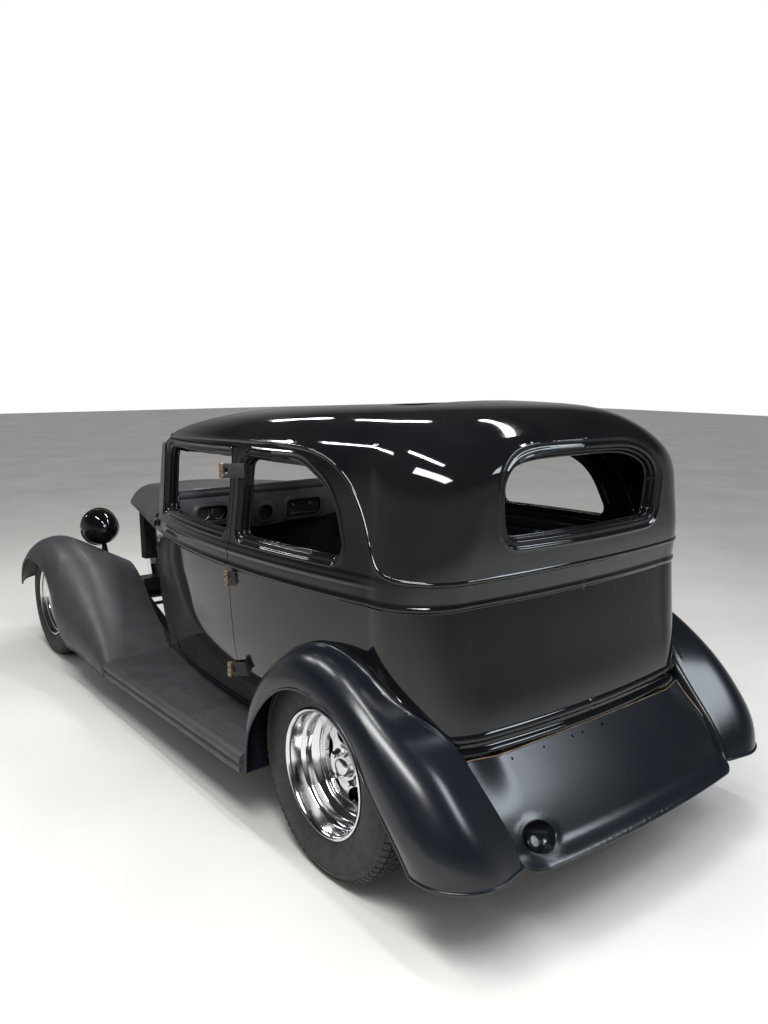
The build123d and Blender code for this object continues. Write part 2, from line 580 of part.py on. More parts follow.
# Columns: z, edge_x, centre_x
COVER_ROWS = [(ROLL_Z - SEAT_GAP, -500, -510), (340, -600, -618), (215, -696, -728)]
cover_sections = []
cover_inside = []
for z, edge_x, centre_x in COVER_ROWS:
    seat = SHEET + SEAT_GAP
    cover_inside.append(make_face([
        ThreePointArc(at(edge_x + seat, COVER_Y, z), at(centre_x + seat, 0, z), at(edge_x + seat, -COVER_Y, z)),
        Polyline(at(edge_x + seat, -COVER_Y, z), at(0, -COVER_Y, z), at(0, COVER_Y, z),
                 at(edge_x + seat, COVER_Y, z))]))
    outer_arc = ThreePointArc(at(edge_x, COVER_Y, z), at(centre_x, 0, z), at(edge_x, -COVER_Y, z))
    inner_arc = ThreePointArc(
        at(edge_x + SHEET, -COVER_Y, z), at(centre_x + SHEET, 0, z), at(edge_x + SHEET, COVER_Y, z))
    cover_sections.append(make_face([
        outer_arc, Line(at(edge_x, -COVER_Y, z), at(edge_x + SHEET, -COVER_Y, z)),
        inner_arc, Line(at(edge_x + SHEET, COVER_Y, z), at(edge_x, COVER_Y, z))]))
keep("tank_cover", raked(loft(cover_sections)))
keep("fuel_tank", raked(block(-535, -395, -390, 390, 235, TANK_TOP_Z)))

# Engine, gearbox and drive line
AXLE_NOSE_X = 130.0
ENGINE_X = ahead(428)
ENGINE_Z = 470.0
block_face = [(-105, -190), (105, -190), (140, -60), (230, 60), (150, 145), (60, 60), (-60, 60), (-150, 145),
              (-230, 60), (-140, -60)]
engine = make_face(Polyline(*[at(ENGINE_X + 270, y, ENGINE_Z + z) for y, z in block_face], close=True))
engine = extrude(engine, 520, dir=(-1, 0, 0))
sump = block(ENGINE_X - 230, ENGINE_X + 200, -110, 110, ENGINE_Z - 250, ENGINE_Z - 185)
intake = block(ENGINE_X - 180, ENGINE_X + 200, -75, 75, ENGINE_Z + 55, ENGINE_Z + 150)
filter_case = Pos(*at(ENGINE_X + 10, 0, ENGINE_Z + 215)) * Cylinder(170, 70)
carb = Pos(*at(ENGINE_X + 10, 0, ENGINE_Z + 170)) * Cylinder(60, 60)
engine = engine + sump + intake + carb + filter_case
for side in (1, -1):
    cover = Pos(*at(ENGINE_X, side * 210, ENGINE_Z + 130)) * Rot(-side * 45, 0, 0) * Box(440, 90, 90)
    engine = engine + cover
keep("engine", raked(engine))

gearbox = Pos(*at(ENGINE_X - 340, 0, ENGINE_Z - 60)) * Rot(0, 90, 0) * Cylinder(185, 200)
gearbox = gearbox + Pos(*at(ENGINE_X - 600, 0, ENGINE_Z - 80)) * Rot(0, 90, 0) * Cylinder(105, 360)
gearbox = gearbox & block(ENGINE_X - 780, ENGINE_X - 250, -200, 200, 240, 700)
keep("gearbox", raked(gearbox))

# Drive shaft from the gearbox to the axle's nose
shaft_start = at(ENGINE_X - 760, 0, ENGINE_Z - 80)
shaft_end = at(60, 0, 330)
drive_shaft = rod(shaft_start, shaft_end, 36) & block(0, ENGINE_X - 780, -60, 60, 200, 600)
drive_shaft = raked(drive_shaft) - block(-200, AXLE_NOSE_X, -200, 200, 100, 700)
keep("drive_shaft", drive_shaft)

# Frame: side rails cut from a side profile and a plan profile
CORE_FOOT_Z = 480.0
SHROUD_HALF_Y = 300.0
SHROUD_FOOT_Z = 600.0
CORE_REAR_X = ahead(848)
CORE_FRONT_X = CORE_REAR_X + 65
RAIL_FRONT_X = ahead(1398)
X_MIDDLE = ENGINE_X - 710
SPRING_TOP_Z = 462.0
LEAF_TOP_Z = 388.0
rail_side = [(-760, 340), (-500, 440), (-300, 470), (60, 478), (330, 400), (480, 270), (1650, 262), (ahead(578), 330),
             (ahead(1028), 470), (RAIL_FRONT_X, 466), (RAIL_FRONT_X, 400), (ahead(1098), 384), (ahead(578), 215),
             (1650, 140), (560, 140), (420, 150),
             (250, 280), (60, 400), (-300, 392), (-500, 365), (-760, 270)]
rail_plan = [(-760, 455), (200, 455), (500, 500), (1650, 490), (ahead(578), 380), (RAIL_FRONT_X, 330),
             (RAIL_FRONT_X, 280), (ahead(578), 330), (1650, 440), (500, 450), (200, 405), (-760, 405)]
rail = side_plate(rail_side, 200, 600)
plan_points = [at(x, y, 100) for x, y in rail_plan]
rail = rail & extrude(make_face(Polyline(*plan_points, close=True)), 600, dir=(0, 0, 1))
rail = rail - (block(-900, -420, 0, 600, 200, 600) - loft(cover_inside))
frame = rail + mirrored(rail)
for x0, x1, z0, z1, reach in (
        (-455, -400, TANK_TOP_Z, 445, 430), (-52, 28, SPRING_TOP_Z, 500, 430), (500, 560, 150, 260, 460),
        (X_MIDDLE - 40, X_MIDDLE + 40, 150, 230, 460),
        (FRONT_HUB_LEVEL[0] - 54, FRONT_HUB_LEVEL[0] + 22, LEAF_TOP_Z, 440, 320),
        (CORE_REAR_X, CORE_FRONT_X, 400, CORE_FOOT_Z, 320)):
    frame = frame + block(x0, x1, -reach, reach, z0, z1)
for side in (1, -1):
    frame = frame + rod(at(560, side * 440, 200), at(X_MIDDLE, side * 150, 190), 28)
    frame = frame + rod(at(X_MIDDLE, side * 150, 190), at(ENGINE_X, side * 350, 235), 28)
    frame = frame + (block(ENGINE_X - 30, ENGINE_X + 30, side * 90, side * 360, 270, 320) - engine)
    for x, y in ((700, 472), (1530, 464)):
        frame = frame + block(x - 30, x + 30, side * (y - 18), side * (y + 18), 240, FLOOR_Z)
frame = frame + (block(X_MIDDLE - 30, X_MIDDLE + 30, -60, 60, 200, 320) - gearbox)
keep("frame", raked(frame))

# Radiator and grille
GRILLE_TOP = (ahead(998), 1000.0)
GRILLE_FOOT = (ahead(1263), 300.0)
grille_tilt = math.degrees(math.atan2(GRILLE_FOOT[0] - GRILLE_TOP[0], GRILLE_TOP[1] - GRILLE_FOOT[1]))
grille_centre = at((GRILLE_TOP[0] + GRILLE_FOOT[0]) / 2, 0, (GRILLE_TOP[1] + GRILLE_FOOT[1]) / 2)
grille_plane = Plane(origin=grille_centre, x_dir=(0, 1, 0),
                     z_dir=(math.cos(math.radians(grille_tilt)), 0, math.sin(math.radians(grille_tilt))))


def grille_outline(grow):
    """The tall shield outline of the grille, grown by some amount."""
    half_top = 175 + grow
    half_low = 105 + grow
    top = 360 + grow
    low = -375 - grow
    points = [(half_top, top - 120), (half_low + 28, -120), (half_low - 25, low + 90)]
    left = [(-x, y) for x, y in points]
    edges = [
        ThreePointArc(points[0], points[1], points[2]),
        ThreePointArc(points[2], (0, low), left[2]),
        ThreePointArc(left[2], left[1], left[0]),
        ThreePointArc(left[0], (0, top), points[0]),
    ]
    return make_face(edges)


shell_ring = extrude(grille_plane * (grille_outline(34) - grille_outline(0)), -70)
for side in (1, -1):
    shell_ring = shell_ring + block(CORE_FRONT_X, GRILLE_TOP[0] + 40, side * 194, side * 208, 760, 800)
keep("grille_shell", raked(shell_ring))
BAR_COUNT = 21
BAR_PITCH = 15.5
grille_frame = grille_plane.location
bars = [Pos((i - (BAR_COUNT - 1) / 2) * BAR_PITCH, 0, -22) * Box(4, 900, 18) for i in range(BAR_COUNT)]
bars += [Pos(0, offset, -36) * Box(380, 10, 12) for offset in (-250, 0, 250)]
bar_field = bars[0]
for bar in bars[1:]:
    bar_field = bar_field + bar
grille_bars = (grille_frame * bar_field) & extrude(grille_plane * grille_outline(-SEAT_GAP), -60)
keep("grille_bars", raked(grille_bars))
# The core stands in a wide shroud that closes the engine bay at its front, under the hood
core = block(CORE_REAR_X, CORE_FRONT_X, -215, 215, CORE_FOOT_Z, 985)
core = core + block(CORE_REAR_X, CORE_FRONT_X, -SHROUD_HALF_Y, SHROUD_HALF_Y, SHROUD_FOOT_Z, HOOD_LOW_Z + 1)
shroud_top = block(CORE_REAR_X, CORE_FRONT_X, -SHROUD_HALF_Y, SHROUD_HALF_Y, HOOD_LOW_Z, 985)
keep("radiator_core", raked(core + (shroud_top & hood_shape(HOOD_SHEET + 8))))

# Headlamps on stands
LAMP_X, LAMP_Y, LAMP_Z = ahead(1154), 445.0, 771.0
LAMP_R = 119.0
LAMP_DEPTH = 170.0
LAMP_MOUTH_X = LAMP_X + 50
RIM_WIDTH = 24.0
lamp_axis = Axis(at(LAMP_X, LAMP_Y, LAMP_Z), (1, 0, 0))
lamp_side = Plane(origin=at(LAMP_MOUTH_X, LAMP_Y, LAMP_Z), x_dir=(-1, 0, 0), z_dir=(0, 1, 0))


def lamp_bowl(radius, depth):
    """A deep round lamp body, half an egg with its open end forward."""
    quarter = lamp_side * (Ellipse(depth, radius) & Pos(depth, radius) * Rectangle(2 * depth, 2 * radius))
    return revolve(quarter, lamp_axis, 360)


def lamp_ring(points):
    """A ring about the lamp's axis from (forward, radius) points."""
    profile = [at(LAMP_MOUTH_X + x, LAMP_Y, LAMP_Z + r) for x, r in points]
    return revolve(make_face(Polyline(*profile, close=True)), lamp_axis, 360)


bucket = lamp_bowl(LAMP_R - 8, LAMP_DEPTH) - lamp_bowl(LAMP_R - 14, LAMP_DEPTH - 6)
lamp_rim = lamp_ring([(SEAT_GAP, LAMP_R - RIM_WIDTH), (SEAT_GAP, LAMP_R), (12, LAMP_R - 2),
                      (22, LAMP_R - RIM_WIDTH)])
lens_r = LAMP_R - RIM_WIDTH - SEAT_GAP
lens = Pos(*at(LAMP_MOUTH_X + 4, LAMP_Y, LAMP_Z)) * Rot(0, 90, 0) * Cylinder(lens_r, 8)
lens_steps = [(8, lens_r), (16, 74), (21, 46), (23, 16)]
for (x0, r0), (x1, r1) in zip(lens_steps, lens_steps[1:]):
    lens = lens + Pos(*at(LAMP_MOUTH_X + (x0 + x1) / 2, LAMP_Y, LAMP_Z)) * Rot(0, 90, 0) * Cone(r0, r1, x1 - x0)
stand = rod(at(LAMP_X - 20, LAMP_Y, 560), at(LAMP_X - 20, LAMP_Y, LAMP_Z), 15)
stand = stand + Pos(*at(LAMP_X - 20, LAMP_Y, 600)) * Cone(44, 20, 80)
stand = stand - lamp_bowl(LAMP_R - 14, LAMP_DEPTH - 6) - Pos(0, 0, SEAT_GAP) * front_fender
stand = stand.solids().sort_by(Axis.Z)[-1]
bucket = bucket + stand
keep("headlamp_buckets", raked(Compound([bucket, mirrored(bucket)])))
keep("headlamp_rims", raked(Compound([lamp_rim, mirrored(lamp_rim)])))
keep("headlamp_lenses", raked(Compound([lens, mirrored(lens)])))


# Wheels and tyres, turned about the axle
def ring_about(x, z, points):
    """A ring revolved about a wheel's axle from (y, radius) points."""
    face = make_face(Polyline(*[at(x, y, z + r) for y, r in points], close=True))
    return revolve(face, Axis(at(x, 0, z), (0, 1, 0)), 360)


BEAD_DEPTH = 14.0
FLANGE = 10.0


def tyre(x, z, y, width, radius, rim_width, rim_radius):
    """A hollow tyre with a flat tread, rounded shoulders and beads inside the rim's flanges."""
    half = width / 2
    bead = rim_width / 2 - FLANGE - SEAT_GAP
    seat = rim_radius - BEAD_DEPTH + SEAT_GAP
    outside = [(bead, seat), (bead, rim_radius + 4), (half, rim_radius + 46), (half - 3, radius - 44),
               (half - 14, radius - 18), (half - 30, radius - 4), (half - 46, radius)]
    inside = [(half - 44, radius - 26), (half - 16, rim_radius + 50), (bead - 22, rim_radius + 6), (bead - 22, seat)]
    ring = [(y + a, r) for a, r in outside] + [(y - a, r) for a, r in reversed(outside)]
    ring += [(y - a, r) for a, r in reversed(inside)] + [(y + a, r) for a, r in inside]
    return ring_about(x, z, ring)


def rim(x, z, y, width, radius, dish):
    """A deep wheel rim with a five-window centre set back by its dish."""
    half = width / 2
    well = radius - 52
    wall = RIM_WALL
    face_y = y + half - dish
    seat = radius - BEAD_DEPTH
    barrel = [(y - half, radius + 2), (y - half, radius - 10), (y - half + 20, seat - wall),
              (y - half + 36, seat - wall), (y - half + 56, well - wall), (face_y - 12, well - wall),
              (face_y - 12, well - 60), (face_y + 14, well - 60), (face_y + 20, well - wall),
              (y + half - 56 + 26, well - wall + 10), (y + half - 20, seat - wall), (y + half, radius - 10),
              (y + half, radius + 2), (y + half - FLANGE, radius + 2), (y + half - FLANGE, seat),
              (y + half - 36, seat), (y + half - 50, well), (y - half + 56, well), (y - half + 36, seat),
              (y - half + FLANGE, seat), (y - half + FLANGE, radius + 2)]
    ring = ring_about(x, z, barrel)
    hub = ring_about(x, z, [(face_y - 26, 0), (face_y - 26, HUB_R + 30), (face_y - 12, well - 56),
                            (face_y + 14, well - 56), (face_y + 24, HUB_R + 18), (face_y + 40, HUB_R),
                            (face_y + 40, 0)])
    wheel = ring + hub
    mid_r = (HUB_R + 30 + well - 30) / 2
    for i in range(WINDOW_COUNT):
        a = 2 * math.pi * i / WINDOW_COUNT + math.pi / 2
        spot = at(x + mid_r * math.cos(a), face_y, z + mid_r * math.sin(a))
        plane = Plane(origin=spot, x_dir=(-math.sin(a), 0, math.cos(a)), z_dir=(0, 1, 0))
        wheel = wheel - extrude(plane * RectangleRounded(62, 50, 20), 60, both=True)
    return wheel


REAR_HUB_Z = REAR_TYRE_R
FRONT_HUB_Z = FRONT_TYRE_R
for name, x, z, y, tyre_w, tyre_r, rim_w, rim_r, dish in (
        ("rear", 0.0, REAR_HUB_Z, REAR_WHEEL_Y, REAR_TYRE_W, REAR_TYRE_R, REAR_RIM_W, REAR_RIM_R, REAR_DISH),
        ("front", WHEELBASE, FRONT_HUB_Z, FRONT_WHEEL_Y, FRONT_TYRE_W, FRONT_TYRE_R, FRONT_RIM_W,
         FRONT_RIM_R, FRONT_DISH)):
    a_tyre = tyre(x, z, y, tyre_w, tyre_r, rim_w, rim_r)
    a_rim = rim(x, z, y, rim_w, rim_r, dish)
    keep(name + "_tyre_left", a_tyre)
    keep(name + "_tyre_right", mirrored(a_tyre))
    keep(name + "_rim_left", a_rim)
    keep(name + "_rim_right", mirrored(a_rim))

# Rear axle: a banjo housing with tubes out to the wheels
AXLE_TUBE_R = 40.0
axle_end = REAR_WHEEL_Y + REAR_RIM_W / 2 - REAR_DISH - 26 - SEAT_GAP
rear_axle = rod(at(0, -axle_end, REAR_HUB_Z), at(0, axle_end, REAR_HUB_Z), AXLE_TUBE_R)
rear_axle = rear_axle + Pos(*at(0, 0, REAR_HUB_Z)) * Sphere(135)
rear_axle = rear_axle & block(-130, AXLE_NOSE_X, -axle_end, axle_end, REAR_HUB_Z - 130, REAR_HUB_Z + 130)
REAR_COIL_Y = 300.0
for side in (1, -1):
    perch = block(REAR_HUB_LEVEL[0] - 40, REAR_HUB_LEVEL[0] + 40, side * (REAR_COIL_Y - 40), side * (REAR_COIL_Y + 40),
                  REAR_HUB_LEVEL[1] + 10, REAR_HUB_LEVEL[1] + 50)
    rear_axle = rear_axle + raked(perch)
    drum_y = REAR_WHEEL_Y - REAR_RIM_W / 2 + 40
    rear_axle = rear_axle + rod(at(0, side * drum_y, REAR_HUB_Z), at(0, side * axle_end, REAR_HUB_Z), 132)
keep("rear_axle", rear_axle)

# Front axle: a dropped tube with kingpins
KINGPIN_Y = 640.0
AXLE_DROP_Z = FRONT_HUB_Z - 60
front_axle = rod(at(WHEELBASE, -430, AXLE_DROP_Z), at(WHEELBASE, 430, AXLE_DROP_Z), 28)
for side in (1, -1):
    front_axle = front_axle + rod(at(WHEELBASE, side * 430, AXLE_DROP_Z),
                                  at(WHEELBASE, side * KINGPIN_Y, FRONT_HUB_Z), 26)
    front_axle = front_axle - Pos(*at(WHEELBASE, side * KINGPIN_Y, FRONT_HUB_Z)) * Cylinder(38, 130)
    front_axle = front_axle + Pos(*at(WHEELBASE, side * KINGPIN_Y, FRONT_HUB_Z)) * Cylinder(30, 56)
    front_axle = front_axle + rod(at(WHEELBASE, side * (KINGPIN_Y - 52), FRONT_HUB_Z - 10),
                                  at(WHEELBASE, side * (KINGPIN_Y - 20), FRONT_HUB_Z), 18)
    pin = Pos(*at(WHEELBASE, side * KINGPIN_Y, FRONT_HUB_Z)) * Cylinder(12, 128)
    front_axle = front_axle + pin
LEAF_Y = 410.0
for side in (1, -1):
    perch = block(FRONT_HUB_LEVEL[0] - 22, FRONT_HUB_LEVEL[0] + 22, side * (LEAF_Y - 25), side * (LEAF_Y + 15),
                  FRONT_HUB_LEVEL[1] - 60, FRONT_HUB_LEVEL[1] - 24)
    front_axle = front_axle + raked(perch)
keep("front_axle", front_axle)

# Springs: a leaf across the front axle and a coil over each end of the rear one
leaf_low = FRONT_HUB_LEVEL[1] - 24
leaf_points = [(LEAF_Y, leaf_low), (LEAF_Y, leaf_low + 12), (210, LEAF_TOP_Z - 8), (70, LEAF_TOP_Z)]
leaf_points += [(-y, z) for y, z in reversed(leaf_points)]
leaf_points += [(-200, leaf_low + 10), (-60, leaf_low + 18), (60, leaf_low + 18), (200, leaf_low + 10)]
leaf = extrude(make_face(Polyline(*[at(FRONT_HUB_LEVEL[0] - 20, y, z) for y, z in leaf_points], close=True)), 40,
               dir=(1, 0, 0))
coils = []
for side in (1, -1):
    coil_height = SPRING_TOP_Z - REAR_HUB_LEVEL[1] - 50
    spot = at(REAR_HUB_LEVEL[0], side * REAR_COIL_Y, SPRING_TOP_Z - coil_height / 2)
    coils.append(Pos(*spot) * Cylinder(34, coil_height))
keep("springs", raked(Compound([leaf] + coils)))

# Radius rods from the front axle back to the frame
rods = []
for side in (1, -1):
    eye = at(WHEELBASE, side * 350, AXLE_DROP_Z)
    link = rod(eye, at(ahead(508), side * 342, 268), 13)
    link = link - rod(at(WHEELBASE, -500, AXLE_DROP_Z), at(WHEELBASE, 500, AXLE_DROP_Z), 28 + SEAT_GAP)
    link = link - raked(rail if side == 1 else mirrored(rail))
    rods.append(link.solids().sort_by(Axis.X)[-1])
keep("radius_rods", Compound(rods))

TIE_X = WHEELBASE - 118
STUD_R = 8.0
TIE_DROP = 92.0
for name, side in (("left", 1), ("right", -1)):
    yoke = None
    for step in (-1, 1):
        ear = Pos(*at(WHEELBASE, side * KINGPIN_Y, FRONT_HUB_Z + step * (28 + 5 + 14))) * Cylinder(30, 28)
        bore = Pos(*at(WHEELBASE, side * KINGPIN_Y, FRONT_HUB_Z + step * 46)) * Cylinder(12 + SEAT_GAP, 60)
        ear = ear - bore
        yoke = ear if yoke is None else yoke + ear
    hub_face_y = FRONT_WHEEL_Y + FRONT_RIM_W / 2 - FRONT_DISH - 26
    back = block(WHEELBASE - 26, WHEELBASE + 26, side * (KINGPIN_Y + 36), side * (KINGPIN_Y + 56),
                 FRONT_HUB_Z - 61, FRONT_HUB_Z + 61)
    for step in (-1, 1):
        back = back + block(WHEELBASE - 22, WHEELBASE + 22, side * (KINGPIN_Y + 20), side * (KINGPIN_Y + 50),
                            FRONT_HUB_Z + step * 33, FRONT_HUB_Z + step * 61)
    spindle = rod(at(WHEELBASE, side * (KINGPIN_Y + 50), FRONT_HUB_Z),
                  at(WHEELBASE, side * (hub_face_y - SEAT_GAP), FRONT_HUB_Z), 24)
    yoke = yoke + back + spindle
    arm = block(TIE_X - 8, WHEELBASE - 10, side * (KINGPIN_Y - 8), side * (KINGPIN_Y + 8),
                FRONT_HUB_Z - 61, FRONT_HUB_Z - 45)
    yoke = yoke + arm - Pos(*at(WHEELBASE, side * KINGPIN_Y, FRONT_HUB_Z)) * Cylinder(12 + SEAT_GAP, 140)
    arm_eye = Pos(*at(TIE_X, side * KINGPIN_Y, FRONT_HUB_Z - 53))
    yoke = yoke + arm_eye * Cylinder(17, 16) - arm_eye * Cylinder(STUD_R + SEAT_GAP, 40)
    keep("knuckle_" + name, yoke)

tie_rod = rod(at(TIE_X, -KINGPIN_Y, FRONT_HUB_Z - TIE_DROP), at(TIE_X, KINGPIN_Y, FRONT_HUB_Z - TIE_DROP), 11)
for side in (1, -1):
    tie_end = Pos(*at(TIE_X, side * KINGPIN_Y, FRONT_HUB_Z - TIE_DROP))
    tie_rod = tie_rod + tie_end * Cylinder(16, 24)
    tie_rod = tie_rod + Pos(*at(TIE_X, side * KINGPIN_Y, FRONT_HUB_Z - 66)) * Cylinder(STUD_R, 58)
    tie_rod = tie_rod + Pos(*at(TIE_X, side * KINGPIN_Y, FRONT_HUB_Z - 36)) * Cylinder(13, 10)
keep("tie_rod", tie_rod)

for name, shape in nodes.items():
    export_step(shape, os.path.join("parts", name + ".step"))
print(len(nodes), "nodes written")
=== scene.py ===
import bpy
import json
import math
import numpy as np
from mathutils import Vector, Matrix
from mathutils.geometry import delaunay_2d_cdt
from mathutils.kdtree import KDTree

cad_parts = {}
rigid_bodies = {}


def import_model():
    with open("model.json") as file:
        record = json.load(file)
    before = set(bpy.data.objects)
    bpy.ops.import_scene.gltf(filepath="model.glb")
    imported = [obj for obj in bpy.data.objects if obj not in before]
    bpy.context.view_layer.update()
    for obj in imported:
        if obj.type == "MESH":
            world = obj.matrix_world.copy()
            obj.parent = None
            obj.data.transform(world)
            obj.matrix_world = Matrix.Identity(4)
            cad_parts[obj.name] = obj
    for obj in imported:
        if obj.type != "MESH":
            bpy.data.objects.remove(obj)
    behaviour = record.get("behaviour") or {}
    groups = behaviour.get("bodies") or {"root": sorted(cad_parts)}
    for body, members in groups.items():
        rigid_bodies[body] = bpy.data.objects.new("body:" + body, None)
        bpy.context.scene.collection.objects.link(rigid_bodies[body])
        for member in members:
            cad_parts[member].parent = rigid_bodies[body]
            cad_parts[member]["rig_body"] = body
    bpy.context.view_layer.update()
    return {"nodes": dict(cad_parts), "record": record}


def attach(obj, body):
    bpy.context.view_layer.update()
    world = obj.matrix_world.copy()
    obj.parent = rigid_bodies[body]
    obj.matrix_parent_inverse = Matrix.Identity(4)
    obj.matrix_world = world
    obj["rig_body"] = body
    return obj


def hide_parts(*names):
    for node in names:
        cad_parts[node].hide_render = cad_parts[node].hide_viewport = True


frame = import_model()

# Body surface: doors, quarters, tail and roof are pressed steel in gloss black paint and follow one surface.
# It runs through a table of plan outlines, drawn level in millimetres from the rear axle, and is tipped into
# the frame, because the car stands nose down. A place on it is s along the side and t up the side.
rake = math.radians(1.9)
axle_x = -1292.0
belt_t = 927.0
header_t = 1352.0
corner_s = -190.0
corner_pace = 0.86


def tipped(points):
    """Level millimetres from the rear axle to metres in the frame."""
    p = np.asarray(points, float)
    x = p[..., 0] + axle_x
    z = p[..., 2]
    return np.stack([x * math.cos(rake) + z * math.sin(rake), p[..., 1],
                     z * math.cos(rake) - x * math.sin(rake)], -1) / 1000


def spline(knots, values, at_points):
    """A natural cubic spline through rows of values, one row a knot."""
    k = np.asarray(knots, float)
    v = np.asarray(values, float).reshape(len(k), -1)
    q = np.atleast_1d(np.asarray(at_points, float))
    n = len(k)
    h = np.diff(k)
    a = np.zeros((n, n))
    b = np.zeros_like(v)
    a[0, 0] = a[-1, -1] = 1
    for i in range(1, n - 1):
        a[i, i - 1:i + 2] = h[i - 1], 2 * (h[i - 1] + h[i]), h[i]
        b[i] = 6 * ((v[i + 1] - v[i]) / h[i] - (v[i] - v[i - 1]) / h[i - 1])
    m = np.linalg.solve(a, b)
    i = np.clip(np.searchsorted(k, q) - 1, 0, n - 2)
    t = (q - k[i])[:, None]
    hh = h[i][:, None]
    s = hh - t
    return (m[i] * s ** 3 + m[i + 1] * t ** 3) / (6 * hh) + (v[i] / hh - m[i] * hh / 6) * s + \
        (v[i + 1] / hh - m[i + 1] * hh / 6) * t


def run_along(line):
    """The length from a line's start to each of its points."""
    return np.concatenate([[0], np.cumsum(np.linalg.norm(np.diff(line, axis=0), axis=1))])


def smoothed(line, count):
    """A spline through a line's points, at evenly spaced lengths."""
    run = run_along(line)
    return spline(run, line, np.linspace(0, run[-1], count))


def unit(directions):
    return directions / (np.linalg.norm(directions, axis=-1, keepdims=True) + 1e-12)


def smooth_step(a, b, x):
    """From 0 at a to 1 at b, with soft ends."""
    t = np.clip((np.asarray(x, float) - a) / (b - a), 0, 1)
    return t * t * (3 - 2 * t)


# Columns: t, height, side x and y, rear corner start x and y, bend x and y, end x and y, tail x
outlines = np.array([
    (285, 285, 700, 622, -180, 590, -400, 530, -450, 400, -482),
    (450, 450, 700, 700, -190, 668, -405, 600, -478, 450, -506),
    (680, 680, 700, 738, -200, 702, -385, 640, -452, 480, -482),
    (927, 927, 700, 749, -200, 712, -368, 650, -425, 500, -457),
    (1060, 1060, 700, 735, -195, 702, -385, 640, -452, 500, -484),
    (1200, 1200, 700, 716, -185, 684, -390, 615, -465, 460, -492),
    (1352, 1350, 700, 694, -150, 650, -375, 572, -455, 410, -482),
    (1408, 1400, 690, 670, -135, 622, -340, 540, -425, 380, -458),
    (1475, 1445, 640, 622, -115, 575, -300, 490, -385, 340, -420),
    (1575, 1490, 560, 535, -85, 490, -245, 405, -325, 270, -362),
    (1688, 1515, 460, 425, -55, 385, -180, 310, -245, 200, -282),
    (1828, 1528, 350, 290, -20, 255, -95, 200, -135, 120, -160)], float)
# Columns: t, front x, front y, corner radius; first the cowl, then the roof
cowl_front = np.array([(285, 1722, 520, 8), (450, 1722, 556, 8), (680, 1722, 579, 8), (927, 1722, 585, 8),
                       (1060, 1722, 570, 8), (1200, 1722, 560, 8), (1352, 1722, 548, 8)], float)
roof_front = np.array([(1352, 1612, 586, 60), (1408, 1585, 545, 80), (1475, 1440, 515, 110),
                       (1575, 1190, 440, 130), (1688, 960, 345, 130), (1828, 760, 220, 120)], float)


def outline_at(t):
    """The outline's columns at t: front x, y, radius, then the table's columns; the height comes last."""
    t = np.atleast_1d(np.asarray(t, float))
    low = spline(outlines[:4, 0], outlines[:4, 1:], np.minimum(t, belt_t))
    high = spline(outlines[3:, 0], outlines[3:, 1:], np.maximum(t, belt_t))
    sides = np.where((t > belt_t)[:, None], high, low)
    nose = spline(cowl_front[:, 0], cowl_front[:, 1:], np.minimum(t, header_t))
    brow = spline(roof_front[:, 0], roof_front[:, 1:], np.maximum(t, header_t))
    front = np.where((t > header_t)[:, None], brow, nose)
    return np.concatenate([front, sides[:, 1:], sides[:, :1]], 1)


def circle(a, b, c):
    """Centre, radius and the three angles of circles through rows of three points."""
    d = 2 * (a[:, 0] * (b[:, 1] - c[:, 1]) + b[:, 0] * (c[:, 1] - a[:, 1]) + c[:, 0] * (a[:, 1] - b[:, 1]))
    d = np.where(np.abs(d) < 1e-6, 1e-6, d)
    aa, bb, cc = (a ** 2).sum(1), (b ** 2).sum(1), (c ** 2).sum(1)
    x = (aa * (b[:, 1] - c[:, 1]) + bb * (c[:, 1] - a[:, 1]) + cc * (a[:, 1] - b[:, 1])) / d
    y = (aa * (c[:, 0] - b[:, 0]) + bb * (a[:, 0] - c[:, 0]) + cc * (b[:, 0] - a[:, 0])) / d
    centre = np.stack([x, y], -1)
    radius = np.linalg.norm(a - centre, axis=1)
    angles = [np.arctan2(p[:, 1] - y, p[:, 0] - x) for p in (a, b, c)]
    for i in (1, 2):
        angles[i] = angles[0] + (angles[i] - angles[0] + math.pi) % (2 * math.pi) - math.pi
    return centre, radius, angles


def xy(x, y):
    """Points from a row of x and a row of y."""
    return np.stack([x, y], -1)


